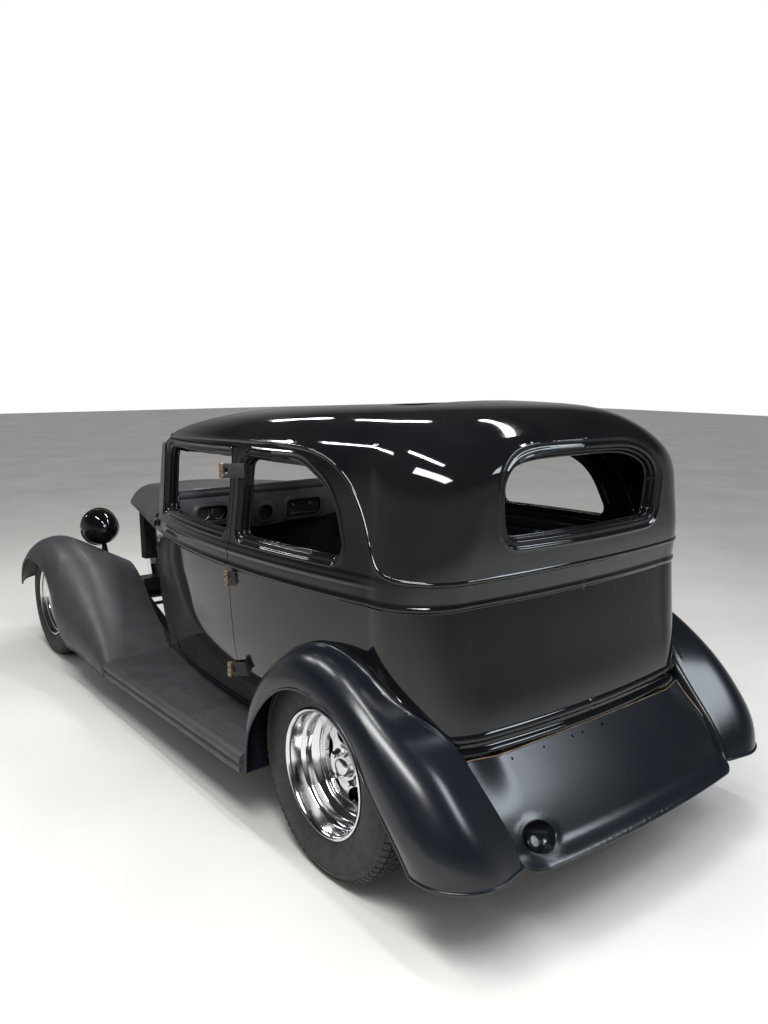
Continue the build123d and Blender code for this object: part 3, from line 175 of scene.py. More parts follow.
def hull_point(s, t):
    """The body's bare surface at length s along its side and height t. s runs on round the tail below
    the rear corner's start, and round the front of the roof above the front corner."""
    s = np.asarray(s, float)
    t = np.asarray(t, float)
    fx, fy, fr, sx, sy, ax, ay, bx, by, ex, ey, tx, height = outline_at(t).T
    front = fx - fr
    c1, r1, g1 = circle(xy(front, fy), xy(sx, sy), xy(ax, ay))
    c2, r2, g2 = circle(xy(ax, ay), xy(bx, by), xy(ex, ey))
    c3, r3, g3 = circle(xy(ex, ey), xy(tx, 0 * tx), xy(ex, -ey))
    x = np.clip(s, ax, front)
    y = c1[:, 1] + np.sqrt(np.maximum(r1 ** 2 - (x - c1[:, 0]) ** 2, 0))
    out = xy(x, y)
    long2 = r2 * np.abs(g2[2] - g2[0])
    long3 = r3 * np.abs(g3[1] - g3[0])
    past = ax - s
    k2 = np.clip(past / long2, 0, 1)
    a2 = g2[0] + (g2[2] - g2[0]) * k2
    corner = c2 + r2[:, None] * xy(np.cos(a2), np.sin(a2))
    k3 = np.clip((past - long2) / long3, 0, 1)
    a3 = g3[0] + (g3[1] - g3[0]) * k3
    tail = c3 + r3[:, None] * xy(np.cos(a3), np.sin(a3))
    out = np.where((past > 0)[:, None], corner, out)
    out = np.where((past > long2)[:, None], tail, out)
    ahead = s - front
    arc = fr * math.pi / 2
    a1 = math.pi / 2 - np.clip(ahead / arc, 0, 1) * math.pi / 2
    nose = xy(front + fr * np.cos(a1), fy - fr + fr * np.sin(a1))
    face = xy(fx, np.maximum(fy - fr - (ahead - arc), 0))
    out = np.where((ahead > 0)[:, None], nose, out)
    out = np.where((ahead > arc)[:, None], face, out)
    return np.stack([out[:, 0], out[:, 1], height], -1)


def ridge(x, half, height):
    """A half-round raised line across x = 0."""
    return height * np.sqrt(np.clip(1 - (x / half) ** 2, 0, 1))


def gap_to(loop, points):
    """How far 2-D points lie from a closed loop."""
    best = np.full(len(points), 1e9)
    a = np.asarray(loop, float)
    b = np.roll(a, -1, axis=0)
    for p, q in zip(a, b):
        d = q - p
        length = max(float(d.dot(d)), 1e-9)
        t = np.clip(((points - p) @ d) / length, 0, 1)
        best = np.minimum(best, np.linalg.norm(points - p - t[:, None] * d, axis=1))
    return best


def fine(loop, step):
    """A closed loop with points at most a step apart."""
    out = []
    n = len(loop)
    for i in range(n):
        a = np.asarray(loop[i], float)
        b = np.asarray(loop[(i + 1) % n], float)
        k = max(1, int(math.ceil(np.linalg.norm(b - a) / step)))
        out += [tuple(a + (b - a) * j / k) for j in range(k)]
    return out


def rounded(corners, radii, step=4.0):
    """A closed loop of straight sides with rounded corners."""
    out = []
    n = len(corners)
    for i in range(n):
        p = np.array(corners[i], float)
        a = np.array(corners[i - 1], float) - p
        b = np.array(corners[(i + 1) % n], float) - p
        la, lb = np.linalg.norm(a), np.linalg.norm(b)
        a, b = a / la, b / lb
        half = math.acos(np.clip(a.dot(b), -1, 1)) / 2
        r = radii[i]
        if r <= 0:
            out.append(tuple(p))
            continue
        cut = min(r / math.tan(half), 0.48 * la, 0.48 * lb)
        r = cut * math.tan(half)
        centre = p + (a + b) / np.linalg.norm(a + b) * r / math.sin(half)
        start, end = p + a * cut - centre, p + b * cut - centre
        a0 = math.atan2(start[1], start[0])
        turn = (math.atan2(end[1], end[0]) - a0 + math.pi) % (2 * math.pi) - math.pi
        k = max(3, int(abs(turn) * r / step))
        out += [tuple(centre + r * np.array([math.cos(a0 + turn * j / k), math.sin(a0 + turn * j / k)]))
                for j in range(k + 1)]
    return out


# Window outlines in (s, t), and rings of finer mesh round them
quarter_window = fine(rounded([(583, 1046), (583, 1352), (215, 1348), (20, 1252), (-66, 1046)],
                              (26, 34, 260, 260, 40)), 9)
door_window = fine(rounded([(1500, 1046), (1478, 1346), (700, 1352), (700, 1046)], (30, 60, 34, 26)), 9)
window_rings = (1.5, 3.5, 6, 8.5, 12, 15.5, 18, 20.5, 23.5, 26, 28.5, 32, 36)
door_top = 1376.5
drip_line = np.array([(2400, 1389), (2100, 1389), (1780, 1390), (1620, 1393), (1500, 1396), (1250, 1401),
                      (900, 1406), (500, 1407), (300, 1400), (130, 1380), (10, 1338), (-70, 1285),
                      (-130, 1215), (-170, 1140), (-205, 1070), (-250, 1028), (-330, 1010), (-500, 1004),
                      (-800, 1004), (-1100, 1004)], float)
fine_drip = smoothed(drip_line, 410)
window_reach = ((quarter_window, -140, 640), (door_window, 641, 1600))


def line_gap(points, s, t):
    """How far (s, t) lies from an open line, with its sign: above is positive."""
    best = np.full(len(s), 1e9)
    sign = np.ones(len(s))
    q = np.stack([s, t], -1)
    for a, b in zip(points[:-1], points[1:]):
        d = b - a
        k = np.clip(((q - a) @ d) / d.dot(d), 0, 1)
        off = q - a - k[:, None] * d
        gap = np.linalg.norm(off, axis=1)
        side = np.sign(-(d[0] * off[:, 1] - d[1] * off[:, 0]))
        sign = np.where(gap < best, side, sign)
        best = np.minimum(best, gap)
    return best * sign


def raised(s, t):
    """How far the surface stands out, in millimetres, at (s, t): belt beads, drip line and window frames."""
    out = ridge(t - belt_t, 9, 6.5)
    out += ridge(t - 983, 7, 4.0) * (1 - smooth_step(-60, -260, s))
    out += 2.5 * smooth_step(935, 975, t) * (1 - smooth_step(1004, 1030, t)) * smooth_step(-260, -60, s)
    gap = line_gap(fine_drip, s, t)
    out += ridge(gap, 8, 5.0)
    out -= 5.0 * smooth_step(0, -10, gap) * smooth_step(1000, 1016, t) * smooth_step(-400, -200, s)
    for window, first, last in window_reach:
        reach = gap_to(window, xy(s, t))
        step = -7.0 * smooth_step(24, 16, reach) - 6.0 * smooth_step(7, 2, reach)
        step += ridge(reach - 27, 5, 2.0)
        out += np.where((s > first) & (s < last), step, 0)
    return out


def hull(s, t, lift=raised):
    """The finished surface in the frame with its normals."""
    e = 1.5
    along = hull_point(s + e, t) - hull_point(s - e, t)
    upward = hull_point(s, t + e) - hull_point(s, t - e)
    n = unit(np.cross(upward, along))
    p = hull_point(s, t) + n * lift(s, t)[:, None]
    return tipped(p), unit(tipped(p + n) - tipped(p))


# Doors: pressed steel with folded edges, gloss black. Each is one sheet of the body surface, as thick as the
# wall, with its window cut out. Its front edge is cut on a drum about the hinges at its straight rear edge.

def inside(loop, points):
    """Which 2-D points lie inside a closed loop."""
    x, y = points[:, 0], points[:, 1]
    result = np.zeros(len(points), bool)
    n = len(loop)
    for i in range(n):
        x0, y0 = loop[i]
        x1, y1 = loop[(i + 1) % n]
        if y0 == y1:
            continue
        hit = ((y0 > y) != (y1 > y)) & (x < (x1 - x0) * (y - y0) / (y1 - y0) + x0)
        result ^= hit
    return result


def within(outer, holes, points):
    """Which 2-D points lie inside an outline and outside its holes."""
    keep = inside(outer, points)
    for hole in holes:
        keep &= ~inside(hole, points)
    return keep


def distance_to(others, points):
    """How far each 2-D point lies from the nearest of others."""
    tree = KDTree(len(others))
    for i, (x, y) in enumerate(others):
        tree.insert((x, y, 0), i)
    tree.balance()
    return np.array([tree.find((x, y, 0))[2] for x, y in points])


def border_of(faces):
    """The edges that only one face has, as that face runs."""
    border = {}
    for face in faces:
        for a, b in zip(face, face[1:] + face[:1]):
            if (b, a) in border:
                del border[(b, a)]
            else:
                border[(a, b)] = True
    return list(border)


def panel(place, outer, holes, s_lines, t_lines, thickness, rings=(3, 7, 12, 18, 25, 32), open_at=None,
          guides=()):
    """A curved sheet cut to an outline. place maps (s, t) rows to points in the frame, with their normals.
    open_at says of an edge's middle whether it is left without a wall, to be joined to another sheet.
    guides are rows of extra points along raised lines."""
    loops = [list(outer)] + [list(h) for h in holes]
    edge = np.array([p for loop in loops for p in loop], float)
    ss, tt = np.meshgrid(s_lines, t_lines)
    points = np.stack([ss.ravel(), tt.ravel()], -1)
    extra = []
    for hole in holes:
        h = np.array(hole, float)
        along = np.roll(h, -1, axis=0) - np.roll(h, 1, axis=0)
        out = np.stack([along[:, 1], -along[:, 0]], -1)
        out /= np.linalg.norm(out, axis=1)[:, None] + 1e-9
        probe = h + out * 0.5
        if inside(hole, probe).mean() > 0.5:
            out = -out
        for reach in rings:
            extra.append(h + out * reach)
    near = np.full(len(points), 1e9)
    for hole in holes:
        near = np.minimum(near, gap_to(hole, points))
    if holes and rings:
        points = points[near > rings[-1] + 4]
    if len(guides):
        lines = np.concatenate(guides)
        points = points[distance_to(lines, points) > 5]
        for hole in holes:
            lines = lines[gap_to(hole, lines) > rings[-1] + 2]
        points = np.concatenate([points, lines])
    if extra:
        points = np.concatenate([points] + extra)
    points = points[within(outer, holes, points)]
    points = points[distance_to(edge, points) > 2.2]
    flat = np.concatenate([edge, points])
    edges = []
    start = 0
    for loop in loops:
        n = len(loop)
        edges += [(start + i, start + (i + 1) % n) for i in range(n)]
        start += n
    found = delaunay_2d_cdt([Vector(p) for p in flat], edges, [], 0, 1e-4)
    flat = np.array([tuple(v) for v in found[0]], float)
    triangles = np.array([tuple(f) for f in found[2]], int)
    triangles = triangles[within(outer, holes, flat[triangles].mean(axis=1))]
    position, normal = place(flat[:, 0], flat[:, 1])
    count = len(flat)
    vertices = np.concatenate([position, position - normal * thickness / 1000])
    a, b, c = position[triangles[:, 0]], position[triangles[:, 1]], position[triangles[:, 2]]
    facing = (np.cross(b - a, c - a) * normal[triangles[:, 0]]).sum()
    if facing < 0:
        triangles = triangles[:, ::-1]
    faces = [tuple(int(i) for i in t) for t in triangles] + [tuple(t[::-1] + count) for t in triangles]
    for a, b in border_of(faces[:len(triangles)]):
        if open_at is None or not open_at((flat[a] + flat[b]) / 2):
            faces.append((b, a, a + count, b + count))
    return vertices, faces


def new_object(name, vertices, faces, smooth=True, sharp=None):
    """An object at the frame's origin from vertices in metres."""
    mesh = bpy.data.meshes.new(name)
    mesh.from_pydata([tuple(v) for v in vertices], [], [tuple(f) for f in faces])
    mesh.validate()
    mesh.polygons.foreach_set("use_smooth", [smooth] * len(mesh.polygons))
    if sharp is not None:
        mesh.set_sharp_from_angle(angle=math.radians(sharp))
    obj = bpy.data.objects.new(name, mesh)
    bpy.context.scene.collection.objects.link(obj)
    return obj


def mirrored(vertices, faces):
    """The same mesh on the other side of the car."""
    v = np.array(vertices, float)
    v[:, 1] *= -1
    return v, [tuple(reversed(f)) for f in faces]


def finish_of(name, low, high, cloud, rough, grain, depth, metallic=0.0, coat=0.0, coat_rough=0.1):
    """A finish on Object coordinates: tones from low to high in clouds of a scale, a roughness that wanders
    over a range, and a grain of a scale and depth in the surface."""
    material = bpy.data.materials.new(name)
    material.use_nodes = True
    nodes, links = material.node_tree.nodes, material.node_tree.links
    shader = nodes["Principled BSDF"]
    place = nodes.new("ShaderNodeTexCoord")

    def noise(scale, detail, target):
        made = nodes.new("ShaderNodeTexNoise")
        made.inputs["Scale"].default_value = scale
        made.inputs["Detail"].default_value = detail
        links.new(place.outputs["Object"], made.inputs["Vector"])
        links.new(made.outputs["Fac"], target)

    tones = nodes.new("ShaderNodeValToRGB")
    for stop, at, tone in zip(tones.color_ramp.elements, (0.32, 0.68), (low, high)):
        stop.position = at
        stop.color = (*tone, 1)
    noise(cloud, 5, tones.inputs["Fac"])
    links.new(tones.outputs["Color"], shader.inputs["Base Color"])
    span = nodes.new("ShaderNodeMapRange")
    for socket, value in zip(("From Min", "From Max", "To Min", "To Max"), (0.3, 0.7, *rough)):
        span.inputs[socket].default_value = value
    noise(cloud * 2.7, 4, span.inputs["Value"])
    links.new(span.outputs["Result"], shader.inputs["Roughness"])
    bump = nodes.new("ShaderNodeBump")
    bump.inputs["Strength"].default_value = depth
    bump.inputs["Distance"].default_value = 0.001
    noise(grain, 3, bump.inputs["Height"])
    links.new(bump.outputs["Normal"], shader.inputs["Normal"])
    shader.inputs["Metallic"].default_value = metallic
    shader.inputs["Coat Weight"].default_value = coat
    shader.inputs["Coat Roughness"].default_value = coat_rough
    return material


def add_finish(slot, *values):
    finishes[slot] = finish_of(slot + "_finish", *values)


def settled(piece, body, slot, *nodes):
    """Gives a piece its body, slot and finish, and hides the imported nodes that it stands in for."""
    if nodes:
        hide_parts(*nodes)
    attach(piece, body)
    piece.data.materials.append(finishes[slot])


finishes = {}
add_finish("door_gloss", (0.003, 0.003, 0.004), (0.006, 0.006, 0.007), 3.0, (0.035, 0.07), 160, 0.010)
wall = 40.0
bead_rows = [915, 919, 922, 924, 926, 928, 930, 932, 935, 939, 946, 954, 962, 969, 974, 977, 980, 983, 986,
             989, 992, 997, 1003, 1009, 1015]
upper_rows = bead_rows + list(range(1022, 1330, 12)) + list(range(1331, 1424, 7))
side_columns = list(np.arange(-1300, -240, 13)) + list(np.arange(-240, 1700, 12))
door_foot, hinge_edge = 330, 645
drum = 925.0
front_edge = []
for z in np.linspace(door_foot, door_top, 60):
    x = 1500.0
    for step in range(30):
        y = hull_point(np.array([x]), np.array([z]))[0, 1]
        x = 620 + math.sqrt(max(drum ** 2 - (770 - y) ** 2, 0))
    front_edge.append((x, z))
door_outline = [(hinge_edge, door_foot)]
door_outline += [(x, door_foot) for x in np.arange(hinge_edge + 12, front_edge[0][0] - 3, 12)] + front_edge
door_outline += [(x, door_top) for x in np.arange(front_edge[-1][0] - 8, 650, -12)] + [(hinge_edge, door_top)]
door_outline += [(hinge_edge, z) for z in np.arange(1366, 335, -10)]
door = panel(hull, door_outline, [door_window], side_columns,
             list(range(342, 915, 13)) + upper_rows, wall, rings=window_rings)
for side, mesh in (("left", door), ("right", mirrored(*door))):
    settled(new_object("door_skin_" + side, *mesh, sharp=40), "door_" + side, "door_gloss", "door_" + side)

# Quarters, tail and roof: pressed steel panels, welded and painted gloss black as one skin. Its left half
# runs from the front of the roof round to the middle of the tail, with notches for the rear window and the
# wheel, and lines raised on it by the press.


def s_ends(t):
    """The s of the tail's middle and of the front's middle at heights t."""
    t = np.atleast_1d(np.asarray(t, float))
    fx, fy, fr, sx, sy, ax, ay, bx, by, ex, ey, tx, height = outline_at(t).T
    c2, r2, g2 = circle(xy(ax, ay), xy(bx, by), xy(ex, ey))
    c3, r3, g3 = circle(xy(ex, ey), xy(tx, 0 * tx), xy(ex, -ey))
    back = ax - r2 * np.abs(g2[2] - g2[0]) - r3 * np.abs(g3[1] - g3[0])
    return back, fx - fr + fr * math.pi / 2 + fy - fr


def beside(line, offsets):
    """Rows of points beside an open line, at distances from it."""
    run = np.gradient(line, axis=0)
    run /= np.linalg.norm(run, axis=1)[:, None]
    across = np.stack([-run[:, 1], run[:, 0]], -1)
    return [line + across * d for d in offsets]


def s_at_x(x, t):
    """The s where the side stands at length x from the rear axle, for places round the rear corner."""
    low, high = s_ends(t)[0][0], 600.0
    for step in range(40):
        mid = (low + high) / 2
        if hull_point(np.array([mid]), np.array([t]))[0, 0] < x:
            low = mid
        else:
            high = mid
    return (low + high) / 2


add_finish("body_gloss", (0.003, 0.003, 0.004), (0.006, 0.006, 0.007), 3.0, (0.035, 0.07), 160, 0.010)
seam_t = 1424.0
arch_r = 407.0
hub_x, hub_z = -12.0, 324.0
roof_middle = 560.0
turn_count = 150
back_end, front_end = s_ends(seam_t)
probe_count = 900
probe_s = np.linspace(back_end[0], front_end[0], probe_count)
probe = hull_point(probe_s, np.full(probe_count, seam_t))
probe_angle = np.arctan2(probe[:, 1], -(probe[:, 0] - roof_middle))
ray_angles = np.linspace(0, math.pi, turn_count)
seam_s = np.interp(ray_angles, probe_angle, probe_s)
# Columns: y, t of the rear window's right half
rear_window = np.array([(0, 1389), (150, 1388), (250, 1380), (310, 1362), (352, 1334), (378, 1300),
                        (388, 1262), (387, 1220), (382, 1180), (374, 1146), (362, 1128), (340, 1119),
                        (300, 1116), (0, 1113)], float)
window_half = smoothed(rear_window, 110)
window_half[:, 0] = np.maximum(window_half[:, 0], 0)
end_t = np.arange(280.0, 1840.0, 4.0)
end_s = s_ends(end_t)[0]
header_edge = 1352.5
tail_foot = 462
head = door_top + 5.6
skin = [(640, z) for z in np.arange(head, 290, -10)] + [(640, 285)]
arch_angles = np.linspace(math.asin(-39 / arch_r), math.pi - math.asin(138 / arch_r), 110)
for a in arch_angles:
    x, z = hub_x + arch_r * math.cos(a), hub_z + arch_r * math.sin(a)
    skin.append((s_at_x(x, z), z))
tail_middle = s_ends(tail_foot)[0][0]
skin += [(x, tail_foot) for x in np.linspace(skin[-1][0], tail_middle, 60)[1:-1]]
skin += [(s_ends(z)[0][0], z) for z in np.arange(tail_foot, 1112, 10)]
skin += [(s_ends(z)[0][0] + d, z) for d, z in window_half[::-1]]
skin += [(s_ends(z)[0][0], z) for z in np.arange(1399, seam_t - 4, 10)]
skin += [(x, seam_t) for x in seam_s]
skin += [(s_ends(z)[1][0], z) for z in np.arange(seam_t - 10, 1353, -10)]
brow_end = s_ends(header_edge)[1][0]
pillar_end = front_edge[-1][0] + 7
skin += [(x, header_edge) for x in np.arange(brow_end, pillar_end + 4, -12)]
skin += [(pillar_end, z) for z in np.arange(header_edge, head, 6)]
skin += [(x, head) for x in np.arange(pillar_end, 646, -12)]


def s_ends_fast(t):
    return np.interp(t, end_t, end_s)


def hull_x(s):
    """About how far along the car s is, for the raised edge over the wheel."""
    return np.where(s > corner_s, s, corner_s + (s - corner_s) * corner_pace)


def skin_lift(s, t):
    """Raised lines of the skin, with the frame pressed round the rear window and the roll under the tail."""
    out = raised(s, t)
    d = s - s_ends_fast(t)
    near = (d < 470) & (t > 1060) & (t < 1440)
    loop = np.concatenate([window_half, window_half[::-1] * [-1, 1]])
    reach = np.full(len(s), 99.0)
    if near.any():
        reach[near] = gap_to(loop, xy(d[near], t[near]))
    out -= 6.0 * smooth_step(30, 20, reach) + 7.0 * smooth_step(8, 2, reach)
    out += ridge(reach - 33, 6, 3.0)
    behind = smooth_step(-330, -410, s)
    roll = ridge(t - 520, 15, 8.0) - 8.0 * smooth_step(516, 500, t) * smooth_step(478, 492, t) + \
        ridge(t - 474, 12, 9.0)
    out += roll * behind
    out += ridge(np.hypot(hull_x(s) - hub_x, t - hub_z) - (arch_r + 12), 9, 7.0) * (t > 440)
    return out


def skin_place(s, t):
    return hull(s, t, skin_lift)


def joins(p):
    """The skin's middle lines and its seam with the top of the roof stay open."""
    return p[1] > seam_t - 0.6 or p[0] < s_ends_fast(p[1]) + 1.0 or p[0] > brow_end - 1 or \
        (p[1] > 1360 and p[0] > s_ends(p[1])[1][0] - 1)


skin_rows = list(range(298, 455, 13)) + list(np.arange(464.5, 540, 3)) + list(range(550, 915, 13))
skin_rows += upper_rows
skin_columns = list(np.arange(-1300, 1700, 15))
guides = beside(fine_drip, (-11, -8.5, -6, -3, 0, 3, 6, 8.5, 12))
for reach in (4, 6.5, 9, 12, 15, 17.5, 20, 23):
    a = np.linspace(-0.1, math.pi + 0.1, 160)
    x, z = hub_x + (arch_r + reach) * np.cos(a), hub_z + (arch_r + reach) * np.sin(a)
    guides.append(xy(np.where(x > corner_s, x, corner_s + (x - corner_s) / corner_pace), z)[z > 445])
for row in beside(window_half, (3, 6, 8.5, 13, 18, 21, 24, 27.5, 30, 33, 36, 39, 43)):
    row = row[row[:, 0] > 0.5]
    guides.append(xy(s_ends_fast(row[:, 1]) + row[:, 0], row[:, 1]))
lower_half = panel(skin_place, skin, [quarter_window], skin_columns, skin_rows, wall, window_rings, joins,
                   guides)

# Top of the roof: the same steel skin from its seam up to the edge of the open middle, whose insert is
# missing. It is a grid of rays from one point, and then the halves are joined and welded.


def joined(parts):
    """Several (vertices, faces) as one."""
    vertices = []
    faces = []
    for v, f in parts:
        start = sum(len(x) for x in vertices)
        vertices.append(np.asarray(v, float))
        faces += [tuple(i + start for i in face) for face in f]
    return np.concatenate(vertices), faces


def welded(vertices, faces, reach=2e-4):
    """Merges vertices that lie on each other."""
    keys = {}
    index = []
    kept = []
    for v in np.asarray(vertices, float):
        key = tuple(np.round(v / reach).astype(int))
        if key not in keys:
            keys[key] = len(kept)
            kept.append(v)
        index.append(keys[key])
    out = []
    for f in faces:
        g = [index[i] for i in f]
        g = [a for i, a in enumerate(g) if a != g[i - 1]]
        if len(set(g)) > 2:
            out.append(tuple(g))
    return np.array(kept), out


def grid_faces(rows, columns, close_rows=False, close_columns=False):
    """Faces of a grid of points, counted row by row."""
    faces = []
    for i in range(rows if close_rows else rows - 1):
        row, below = i * columns, ((i + 1) % rows) * columns
        for j in range(columns if close_columns else columns - 1):
            k = (j + 1) % columns
            faces.append((row + j, row + k, below + k, below + j))
    return faces


def grid_mesh(points, close_rows=False, close_columns=False, caps=False):
    """A grid of points as a mesh. Caps close it at its first and last rows."""
    p = np.asarray(points, float)
    rows, columns = p.shape[:2]
    faces = grid_faces(rows, columns, close_rows, close_columns)
    if caps:
        faces += [tuple(reversed(range(columns))), tuple(range((rows - 1) * columns, rows * columns))]
    return p.reshape(-1, 3), faces


levels = np.concatenate([[seam_t], np.linspace(seam_t + 14, 1826, 34)])
ray_r = []
ray_z = []
for t in levels:
    a, b = s_ends(t)
    q = hull_point(np.linspace(a[0], b[0], 700), np.full(700, t))
    angle = np.arctan2(q[:, 1], -(q[:, 0] - roof_middle))
    ray_r.append(np.interp(ray_angles, angle, np.hypot(q[:, 0] - roof_middle, q[:, 1])))
    ray_z.append(q[0, 2])
ray_r, ray_z = np.array(ray_r), np.array(ray_z)
hole = rounded([(1100, -320), (1100, 320), (20, 320), (20, -320)], (60,) * 4, 3)
hole = np.array(fine(hole, 4), float)
hole_angle = np.arctan2(hole[:, 1], -(hole[:, 0] - roof_middle))
order = np.argsort(hole_angle)
hole_r = np.interp(ray_angles, hole_angle[order], np.hypot(hole[order, 0] - roof_middle, hole[order, 1]))
steps = 44
top = np.zeros((steps, turn_count, 3))
for j in range(turn_count):
    r = np.concatenate([[0.0], ray_r[::-1, j]])
    z = np.concatenate([[1537.0], ray_z[::-1]])
    keep = np.concatenate([[True], np.diff(r) > 4])
    r, z = r[keep], z[keep]
    r = np.concatenate([-r[:0:-1], r])
    z = np.concatenate([z[:0:-1], z])
    w = np.linspace(0, 1, steps)
    radius = ray_r[0, j] + (hole_r[j] - ray_r[0, j]) * w
    height = spline(r, z, radius)[:, 0]
    top[:, j, 0] = roof_middle - radius * math.cos(ray_angles[j])
    top[:, j, 1] = radius * math.sin(ray_angles[j])
    top[:, j, 2] = height
seam_points, seam_normals = skin_place(seam_s, np.full(turn_count, seam_t))
outside = tipped(top)
outside[0] = seam_points
normals = unit(np.cross(np.gradient(outside, axis=0), np.gradient(outside, axis=1)))
if normals[5, 5, 2] < 0:
    normals = -normals
normals[0] = seam_normals
inner = outside - normals * np.linspace(wall, 26, steps)[:, None, None] / 1000
outer_v, outer_f = grid_mesh(outside)
inner_v, inner_f = grid_mesh(inner)
if np.cross(outside[1, 5] - outside[0, 5], outside[1, 6] - outside[1, 5]).dot(normals[0, 5]) < 0:
    outer_f = [tuple(reversed(f)) for f in outer_f]
else:
    inner_f = [tuple(reversed(f)) for f in inner_f]
top_v, top_f = joined([(outer_v, outer_f), (inner_v, inner_f)])
rim = (steps - 1) * turn_count
n = steps * turn_count
top_f += [(rim + j, rim + j + 1, n + rim + j + 1, n + rim + j) for j in range(turn_count - 1)]
half = joined([lower_half, (top_v, top_f)])
whole = welded(*joined([half, mirrored(*half)]), reach=4e-4)
settled(new_object("body_skin", *whole, sharp=42), "body", "body_gloss",
        "quarter_panel_left", "quarter_panel_right", "tail_panel", "roof_panel")

# Glass channels: the steel edge of each window opening is rolled at the outside, the middle and the inside,
# and painted with the body. Each roll is a thin tube round the opening.
channel_rolls = ((0.012, 0.003), (0.017, 0.0022), (0.036, 0.005))


def tube(path, radius, sides=12, closed=False):
    """A round tube along points, with flat ends."""
    p = np.asarray(path, float)
    n = len(p)
    tangent = np.zeros_like(p)
    for i in range(n):
        a = p[(i + 1) % n] if closed or i < n - 1 else p[i]
        b = p[i - 1] if closed or i > 0 else p[i]
        tangent[i] = (a - b) / max(np.linalg.norm(a - b), 1e-9)
    up = np.array([0, 0, 1.0]) if abs(tangent[0][2]) < 0.9 else np.array([1.0, 0, 0])
    side = np.cross(tangent[0], up)
    side /= np.linalg.norm(side)
    rows = []
    for i in range(n):
        side = side - tangent[i] * side.dot(tangent[i])
        side /= np.linalg.norm(side)
        other = np.cross(tangent[i], side)
        r = radius[i] if np.ndim(radius) else radius
        rows.append([p[i] + r * (math.cos(a) * side + math.sin(a) * other)
                     for a in np.linspace(0, 2 * math.pi, sides, endpoint=False)])
    return grid_mesh(rows, closed, True, not closed)


def channel(spots, normals):
    return [tube(spots - normals * depth, r, 8, True) for depth, r in channel_rolls]


v, f = joined(channel(*hull(*np.array(door_window).T)))
for side, mesh in (("left", (v, f)), ("right", mirrored(v, f))):
    settled(new_object("door_window_channel_" + side, *mesh), "door_" + side, "door_gloss")
loop = np.concatenate([window_half, window_half[-2:0:-1] * [-1, 1]])
spots, normals = skin_place(s_ends_fast(loop[:, 1]) + np.abs(loop[:, 0]), loop[:, 1])
for rows in (spots, normals):
    rows[:, 1] *= np.where(loop[:, 0] < 0, -1, 1)
v, f = joined(channel(*hull(*np.array(quarter_window).T)))
v, f = joined([(v, f), mirrored(v, f)] + channel(spots, normals))
settled(new_object("body_window_channels", v, f), "body", "body_gloss")

# Fenders: pressed steel, the rear pair in blue-black sealer and the front pair in dark primer. Each is a
# sheet through a few sections of an inner edge, the crown's start, a point on the shoulder and the lip. The
# rear pair are cut off where they go into the body, and the free edges of all four are rolled round a wire.


def arc_through(a, b, c, count):
    """Points on the arc from a over b to c, in space."""
    u, v = b - a, c - a
    w = np.cross(u, v)
    size = w.dot(w)
    if size < 1e-6:
        return a + (c - a) * np.linspace(0, 1, count)[:, None]
    centre = a + (np.cross(w, u) * v.dot(v) + np.cross(v, w) * u.dot(u)) / (2 * size)
    x = a - centre
    radius = np.linalg.norm(x)
    x /= radius
    y = np.cross(w / math.sqrt(size), x)
    turn = math.atan2((c - centre).dot(y), (c - centre).dot(x)) % (2 * math.pi)
    k = np.linspace(0, turn, count)
    return centre + radius * (np.cos(k)[:, None] * x + np.sin(k)[:, None] * y)


def eased(points, rounds, first, last):
    """Softens a bend between two stretches of a profile."""
    p = points.copy()
    for step in range(rounds):
        q = p.copy()
        q[1:-1] = p[1:-1] * 0.5 + (p[:-2] + p[2:]) * 0.25
        p[first:last] = q[first:last]
    return p


def spaced(points, count):
    """The same line with evenly spaced points."""
    length = run_along(points)
    at = np.linspace(0, length[-1], count)
    return np.stack([np.interp(at, length, points[:, i]) for i in range(points.shape[1])], -1)


low_z, step_z = 285.0, 12.0
low_x, step_x = -520.0, 4.0
body_heights = np.arange(low_z, 928.0, step_z)
body_lengths = np.arange(low_x, 641.0, step_x)
body_width = np.zeros((len(body_heights), len(body_lengths)))
for i, z in enumerate(body_heights):
    spots = hull_point(np.linspace(s_ends(z)[0][0], 640, 500), np.full(500, z))
    body_width[i] = np.interp(body_lengths, spots[:, 0], spots[:, 1], left=0)


def body_y(x, z):
    """How far out the body stands at length x and height z, or nothing below its tail."""
    i = np.clip((np.asarray(z) - low_z) / step_z, 0, len(body_heights) - 1.001)
    j = np.clip((np.asarray(x) - low_x) / step_x, 0, len(body_lengths) - 1.001)
    a, b = i.astype(int), j.astype(int)
    u, v = i - a, j - b
    y = (body_width[a, b] * (1 - u) * (1 - v) + body_width[a + 1, b] * u * (1 - v) +
         body_width[a, b + 1] * (1 - u) * v + body_width[a + 1, b + 1] * u * v)
    open_tail = (np.asarray(z) < tail_foot) & (np.asarray(x) < 240)
    return np.where(open_tail | (np.asarray(x) < low_x + 1), -1, y)


def sheet(outside, thickness, outward):
    """A grid of points in the frame as a sheet with an inner side and closed edges."""
    normal = unit(np.cross(np.gradient(outside, axis=0), np.gradient(outside, axis=1)))
    r, c = outside.shape[:2]
    turned = normal[r // 2, c // 2].dot(outward) < 0
    if turned:
        normal = -normal
    inner = outside - normal * thickness / 1000
    faces = grid_faces(r, c)
    n = r * c
    top = [tuple(reversed(f)) for f in faces] if turned else faces
    low = [tuple(i + n for i in reversed(f)) for f in top]
    rim = [(b, a, a + n, b + n) for a, b in border_of(top)]
    return np.concatenate([outside.reshape(-1, 3), inner.reshape(-1, 3)]), top + low + rim, normal


